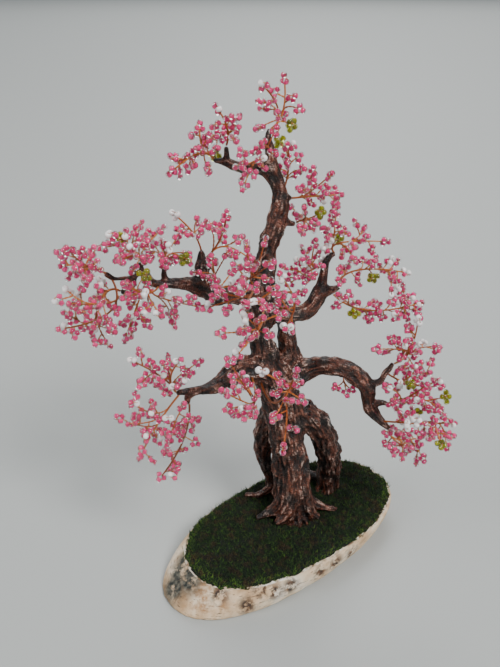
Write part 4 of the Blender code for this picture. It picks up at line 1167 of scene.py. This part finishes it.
def limb_samples():
    """Places, radii and directions of points along all limbs."""
    places = []
    radii = []
    axes = []
    for points in LIMBS.values():
        line = smooth_line(points, SPHERE_STEP)
        steps = np.gradient(line[:, :3], axis=0)
        places.append(line[:, :3])
        radii.append(line[:, 3])
        axes.append(steps / np.linalg.norm(steps, axis=1)[:, None])
    return np.vstack(places), np.concatenate(radii), np.vstack(axes)


def grain(places):
    """Direction of the bark at each place, blended from the limbs near it, and the limb's thickness."""
    middles, radii, axes = limb_samples()
    products = (axes[:, :, None] * axes[:, None, :]).reshape(-1, 9)
    directions = np.zeros((len(places), 3))
    thick = np.zeros(len(places))
    for start in range(0, len(places), GRAIN_CHUNK):
        chunk = places[start:start + GRAIN_CHUNK]
        depth = np.linalg.norm(chunk[:, None] - middles[None], axis=2) - radii[None]
        weight = np.exp(-(depth - depth.min(axis=1)[:, None]) / GRAIN_BLEND)
        blended = (weight @ products).reshape(-1, 3, 3)
        directions[start:start + GRAIN_CHUNK] = np.linalg.eigh(blended)[1][:, :, 2]
        thick[start:start + GRAIN_CHUNK] = (weight @ radii) / weight.sum(axis=1)
    directions *= np.where(directions @ GRAIN_SENSE < 0, -1, 1)[:, None]
    return directions, thick


def drawn_out(places, directions, size, reach, ridged):
    """Noise of a size across the grain, drawn out along it by a reach, from about -1 to 1."""
    total = np.zeros(len(places))
    for offset in np.linspace(-reach, reach, DRAWN_SAMPLES):
        moved = (places + directions * offset) / size
        values = np.array([noise.noise(p) for p in moved.tolist()])
        total += -np.abs(values) if ridged else values
    return (total - total.mean()) / total.std() * 0.5


def bark_relief(places, directions):
    """Height of the bark at each place and, for its paint and its painted shade and light, how far it
    stands out from near by.
    """
    knobs = drawn_out(places, directions, *KNOBS, False)
    ridges = drawn_out(places, directions, *RIDGES, True)
    flecks = drawn_out(places + FLECK_SHIFT, directions, *FLECKS, True)
    bark = RIDGE_HEIGHT * ridges + FLECK_HEIGHT * flecks
    return KNOB_HEIGHT * knobs + bark, KNOBS_IN_PAINT_AND_SHADE * knobs + bark


def softened(places, edges, thick):
    """Places drawn towards their neighbours, on thick limbs only, so that the joints run smoothly."""
    count = len(places)
    near_by = np.bincount(edges.ravel(), minlength=count)
    pull = SOFT_PULL * np.clip((thick - SOFT_THICK[0]) / (SOFT_THICK[1] - SOFT_THICK[0]), 0, 1)
    for _ in range(SOFT_ROUNDS):
        total = np.zeros_like(places)
        for axis in range(3):
            total[:, axis] += np.bincount(edges[:, 0], places[edges[:, 1], axis], count)
            total[:, axis] += np.bincount(edges[:, 1], places[edges[:, 0], axis], count)
        places = places + pull[:, None] * (total / near_by[:, None] - places)
    return places


def make_trunk(look):
    """Fine trunk with bark relief; the relief is kept as a value for its paint and its painted shade and
    light.
    """
    mesh = grown_trunk()
    places = read(mesh.vertices, "co", 3) / MM
    normals = read(mesh.vertices, "normal", 3)
    edges = read(mesh.edges, "vertices", 2, np.int32)
    directions, thick = grain(places)
    places = softened(places, edges, thick)
    heights, relief = bark_relief(places, directions)
    depth = np.clip(BARK_DEPTH * thick, *BARK_DEPTH_LIMITS)
    places = places + normals * (depth * (heights - BARK_SINK))[:, None]
    places[:, 2] = np.maximum(places[:, 2], SLICE_TOP + GAP)
    mesh.vertices.foreach_set("co", (places * MM).ravel())
    store(mesh, "relief", 0.5 + RELIEF_SPAN * relief)
    store(mesh, "grain", directions)
    mesh.materials.clear()
    mesh.materials.append(look)
    mesh.shade_smooth()
    trunk = placed("bark_trunk", mesh)
    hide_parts("trunk")
    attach(trunk, "root")


def bark_look():
    """Dark brown paint with red-brown patches and pale dry brushing on the ridges, with painted shade in
    the bark's hollows and painted light on its ridges.
    """
    made = Shader("painted_bark", roughness=0.5)
    place = made.place()
    relief = made.value("relief")
    fine = made.streaks(0.0009, 0.0014)
    ground = made.ramp(made.noise(place, 140.0, 3.0), BARK_SHADES)
    # Painted shade and light: the paint darkens in the bark's hollows and lightens on its ridges, by the
    # relief
    hollow_shade_ridge_light = made.ramp(relief, [(0.15, 0.08), (0.50, 0.60), (0.80, 1.3)])
    ground = made.mix(1.0, ground, hollow_shade_ridge_light, "MULTIPLY")
    # Painted shade in the fine grooves of the bump and painted light on its fine ridges
    ground = made.mix(1.0, ground, made.ramp(fine, [(0.44, 0.25), (0.56, 1.5)]), "MULTIPLY")
    high = made.ramp(relief, [(0.48, 0.0), (0.75, 1.0)])
    broken = made.ramp(fine, [(0.512, 0.0), (0.572, 1.0)])
    wide = made.ramp(made.noise(place, 120.0, 3.0), [(0.43, 0.2), (0.58, 1.0)])
    brushed = made.math("MULTIPLY", made.math("MULTIPLY", high, broken), wide)
    made.colour(made.mix(brushed, ground, BRUSHED_PAINT))
    made.rough(made.ramp(made.noise(place, 500.0), [(0.42, 0.26), (0.58, 0.70)]))
    made.set(Specular_IOR_Level=0.42)
    made.bump(fine, 0.0022, 0.9)
    return made.material


def noise_round(angle, times, layer):
    """Noise on a closed way round, finer with more times; each layer is a different one."""
    return noise.noise(Vector((math.cos(angle) * times, math.sin(angle) * times, layer)))


def noise_over(x, y, size, layer):
    """Noise of a size over a level surface; each layer is a different one."""
    return noise.noise(Vector((x / size, y / size, layer)))


def make_slice():
    """Birch slice with uneven bark, flat underneath."""
    rings = smooth_line(SLICE_SECTIONS, SLICE_STEP)
    lean_x, lean_y = SLICE_LEAN
    places = []
    around = []
    for height, half_length, half_width, share in rings:
        height = min(max(height, 0.0), SLICE_TOP)
        middle = Vector((lean_x * 0.5, 0, height))
        last = None
        way = 0.0
        for i in range(SLICE_COLUMNS):
            angle = math.tau * i / SLICE_COLUMNS
            point = slice_point(angle, (half_length, half_width), (share * lean_x, share * lean_y), height)
            if last:
                way += (point - last).length
            last = point
            out = (point - middle).normalized()
            bulge = noise_round(angle, BULGE_TIMES, height / BULGE_RISE)
            crack = noise_round(angle, CRACK_TIMES, height / CRACK_RISE + CRACK_LAYER)
            point = point + out * SLICE_ROUGHNESS * (bulge + CRACK_SHARE * crack - SLICE_INSET)
            places.append((point.x, point.y, height))
            around.append((way, height, 0.0))
    starts = [r * SLICE_COLUMNS for r in range(len(rings))]
    faces = bands(starts, SLICE_COLUMNS) + ends(starts[-1], SLICE_COLUMNS)
    surface = BVHTree.FromPolygons([Vector(place) * MM for place in places], faces)
    look = birch_look(surface)
    piece = mesh_object("birch_bark_slice", places, faces, [look], values={"around": np.array(around)})
    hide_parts("birch_slice")
    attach(piece, "root")


def near(shader, place, reach):
    """A mask that falls from one at a place to none at a reach, both in metres."""
    away = shader.node("ShaderNodeVectorMath", operation="DISTANCE")
    shader.feed(away.inputs[0], shader.place())
    away.inputs[1].default_value = place
    fall = shader.node("ShaderNodeMapRange")
    settings = {"Value": away.outputs["Value"], "From Min": reach, "From Max": reach * MARK_CORE}
    for key, value in settings.items():
        shader.feed(fall.inputs[key], value)
    return fall.outputs["Result"]


def marks(shader, pixels, reach, surface):
    """A mask round the places on a surface that fall at some pixels of the photograph."""
    total = 0.0
    for pixel in pixels:
        place = place_seen(pixel, surface)
        if place is not None:
            total = shader.math("MAXIMUM", total, near(shader, place, reach))
    return total


def birch_look(surface):
    """Cream birch bark with brown dashes and scars, rusty patches and a grey lichen end."""
    made = Shader("birch_bark", roughness=0.78)
    place = made.place()
    around = made.value("around", "Vector")
    ground = made.ramp(made.noise(place, 90.0, 4.0), BIRCH_SHADES)
    dark = made.ramp(made.noise(place, 400.0), SCAR_SHADES)
    dashes = made.noise(made.scaled(around, (0.16, 0.9, 1.0)), 1.5, 3.0, 0.6)
    skin = made.mix(made.ramp(dashes, [(0.60, 0.0), (0.66, 0.9)]), ground, dark)
    rusty = made.ramp(made.noise(place, 170.0, 5.0, 0.6), [(0.44, 0.0), (0.60, 0.95)])
    rust = made.math("MULTIPLY", marks(made, RUST_PIXELS, RUST_REACH, surface), rusty)
    skin = made.mix(rust, skin, RUST_COLOUR)
    scarred = made.ramp(made.noise(place, 330.0, 5.0, 0.65), [(0.42, 0.0), (0.52, 1.0)])
    scar = made.math("MULTIPLY", marks(made, SCAR_PIXELS, SCAR_REACH, surface), scarred)
    skin = made.mix(scar, skin, dark)
    speckle = made.ramp(made.noise(place, 230.0, 6.0, 0.7), [(0.36, 0.15), (0.50, 1.0)])
    lichen = made.math("MULTIPLY", marks(made, LICHEN_PIXELS, LICHEN_REACH, surface), speckle)
    made.colour(made.mix(lichen, skin, made.ramp(made.noise(place, 500.0), LICHEN_SHADES)))
    made.bump(made.noise(made.scaled(around, (0.25, 1.4, 1.0)), 2.2, 6.0, 0.7), 0.0006, 0.8)
    return made.material


def make_rim(look):
    """Torn edge of the bark round the moss: a ragged lip that stands above the slice's top."""
    half_length, half_width = SLICE_SECTIONS[-1][1:3]
    low, high = RIM_HEIGHT
    places = []
    for i in range(RIM_COLUMNS):
        angle = math.tau * i / RIM_COLUMNS
        rough = 0.5 + 0.5 * noise_round(angle, RIM_TIMES[0], 0.0)
        sharp = 0.5 + 0.5 * noise_round(angle, RIM_TIMES[1], 4.0)
        tall = low + (high - low) * (0.55 * rough + 0.45 * sharp) ** RIM_RAGGED
        wide = RIM_THICKNESS * (0.6 + 0.8 * sharp)
        for out, up in ((0.1, -0.6), (-0.3, tall * 0.8), (-wide, tall), (-RIM_FOOT, -0.2)):
            half = (half_length + out, half_width + out)
            places.append(tuple(slice_point(angle, half, SLICE_LEAN, SLICE_TOP + up)))
    faces = turned_over(bands([4 * i for i in range(RIM_COLUMNS)] + [0], 4))
    piece = mesh_object("torn_bark_rim", places, faces, [look])
    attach(piece, "root")


def rim_look():
    """Pale torn inner bark."""
    made = Shader("torn_bark", roughness=0.85)
    place = made.place()
    made.colour(made.ramp(made.noise(place, 300.0, 5.0), TORN_SHADES))
    made.bump(made.noise(place, 900.0, 4.0, 0.7), 0.0004, 0.8)
    return made.material


def moss_height(x, y, share):
    """Height of the moss at a place; share is how far out towards its edge it is."""
    lumps = noise_over(x, y, 9, 2.0) + 0.5 * noise_over(x, y, 3.5, 5.0)
    fall = max(0.0, (share - MOSS_SHOULDER) / (1 - MOSS_SHOULDER)) ** 2
    return MOSS_TOP + MOSS_LUMPS * lumps - MOSS_FALL * fall


def moss_edge(angle):
    """How much the moss spreads beyond or falls short of its plain outline."""
    return MOSS_SPREAD * (noise_round(angle, 5, 1.0) + 0.8 * noise_round(angle, 24, 3.0))


def moss_point(angle, share):
    """Where the moss is at an angle from its middle and a share of the way to its edge."""
    spread = moss_edge(angle) + MOSS_OVERHANG
    half = ((MOSS_HALF[0] + spread) * share, (MOSS_HALF[1] + spread) * share)
    flat = slice_point(angle, half, (0, 0), 0)
    lean = slice_point(0, (0, 0), SLICE_LEAN, 0)
    return flat.x + lean.x, flat.y + lean.y


def make_moss_bed(look):
    """Lumpy bed that the moss blades stand on."""
    angles = [math.tau * i / MOSS_COLUMNS for i in range(MOSS_COLUMNS)]
    places = []
    for r in range(1, MOSS_RINGS + 1):
        share = r / MOSS_RINGS
        for angle in angles:
            x, y = moss_point(angle, share)
            places.append((x, y, moss_height(x, y, share) - BED_SINK))
    top = len(places)
    x, y = moss_point(0, 0)
    places.append((x, y, moss_height(x, y, 0) - BED_SINK))
    floor = len(places)
    for angle in angles:
        places.append((*moss_point(angle, BED_FOOT), SLICE_TOP + BED_CLEARANCE))
    starts = [r * MOSS_COLUMNS for r in range(MOSS_RINGS)]
    faces = turned_over(bands(starts, MOSS_COLUMNS))
    faces += [(top, i, (i + 1) % MOSS_COLUMNS) for i in range(MOSS_COLUMNS)]
    faces += turned_over(bands([starts[-1], floor], MOSS_COLUMNS))
    faces.append(tuple(range(floor, floor + MOSS_COLUMNS))[::-1])
    piece = mesh_object("moss_bed", places, faces, [look])
    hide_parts("moss_mat")
    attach(piece, "root")


def make_moss_blades(look):
    """Short moss blades, each a slim three-sided spike."""
    rng = random.Random(MOSS_SEED)
    places = np.zeros((MOSS_BLADES * 4, 3))
    tints = np.zeros(MOSS_BLADES * 4)
    faces = []
    for i in range(MOSS_BLADES):
        angle = rng.uniform(0, math.tau)
        share = math.sqrt(rng.random())
        x, y = moss_point(angle, share)
        base = np.array([x, y, moss_height(x, y, share) - BLADE_SINK])
        tall = rng.uniform(*BLADE_HEIGHT)
        lean = rng.uniform(0, BLADE_LEAN)
        way = rng.uniform(0, math.tau)
        spin = rng.uniform(0, math.tau)
        for k in range(3):
            turn = spin + math.tau * k / 3
            places[4 * i + k] = base + BLADE_RADIUS * np.array([math.cos(turn), math.sin(turn), 0])
        places[4 * i + 3] = base + np.array([math.cos(way) * lean, math.sin(way) * lean, 1.0]) * tall
        clump = 0.5 + 0.5 * noise_over(x, y, CLUMP_SIZE, 7.0)
        edge = EDGE_BRIGHTNESS * rng.random() if share > EDGE_SHARE else 0.0
        tints[4 * i:4 * i + 4] = 0.5 * rng.random() + 0.5 * clump + edge
        first, second, third, tip = range(4 * i, 4 * i + 4)
        faces.extend([(first, second, tip), (second, third, tip), (third, first, tip)])
    piece = mesh_object("moss_blades", places, faces, [look], values={"tint": tints}, smooth=False)
    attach(piece, "root")


def moss_look():
    """Dark green moss with brown patches and brighter tufts."""
    made = Shader("moss", roughness=0.9)
    place = made.place()
    tint = made.value("tint")
    patches = made.ramp(made.noise(place, 210.0, 3.0, 0.6), [(0.50, 0.0), (0.62, 0.80)])
    made.colour(made.mix(patches, made.ramp(tint, GREEN_SHADES), made.ramp(tint, BROWN_SHADES)))
    made.bump(made.noise(place, 1500.0), 0.0004, 0.6)
    return made.material


def make_floor():
    """Pale floor, most of it behind the tree."""
    bpy.ops.mesh.primitive_plane_add(size=FLOOR_SIZE, location=(0, FLOOR_SIZE / 4, 0))
    floor = bpy.context.active_object
    floor.name = "floor"
    look = Shader("pale_floor", roughness=0.6)
    look.set(Base_Color=(*FLOOR_COLOUR, 1.0))
    floor.data.materials.append(look.material)


def make_lights():
    """Pale surroundings and three round soft lamps."""
    world = bpy.data.worlds.new("studio")
    bpy.context.scene.world = world
    world.use_nodes = True
    backdrop = world.node_tree.nodes["Background"]
    backdrop.inputs["Color"].default_value = (*BACKDROP_COLOUR, 1.0)
    backdrop.inputs["Strength"].default_value = BACKDROP_STRENGTH
    for name, (place, size, power) in LAMPS.items():
        lamp = bpy.data.lights.new(name, "AREA")
        lamp.shape = "DISK"
        lamp.size = size
        lamp.energy = power
        made = placed(name, lamp)
        made.location = place
        aim = Vector(LAMP_AIM) - Vector(place)
        made.rotation_euler = aim.to_track_quat("-Z", "Y").to_euler()


def make_camera():
    """Camera at the photograph's viewing angle."""
    lens = bpy.data.cameras.new("camera")
    lens.sensor_width = SENSOR
    lens.lens = SENSOR * FOCAL_PIXELS / max(FRAME_PIXELS)
    camera = placed("camera", lens)
    camera.location = CAMERA_PLACE
    camera.rotation_euler = (math.pi / 2 - CAMERA_PITCH, 0, 0)
    bpy.context.scene.camera = camera


def main():
    make_floor()
    make_lights()
    make_camera()
    looks = [
        lining_look("pink_lining", PINK_SHADES),
        shell_look("pink_glass", PINK_GLASS_COLOUR),
        white_glass_look(),
        lining_look("leaf_lining", LEAF_SHADES),
        shell_look("leaf_glass", LEAF_GLASS_COLOUR),
    ]
    grown = grow_all()
    fill_sprays(grown)
    make_sprays(grown, looks, copper_look())
    make_trunk(bark_look())
    make_slice()
    make_rim(rim_look())
    moss = moss_look()
    make_moss_bed(moss)
    make_moss_blades(moss)


main()
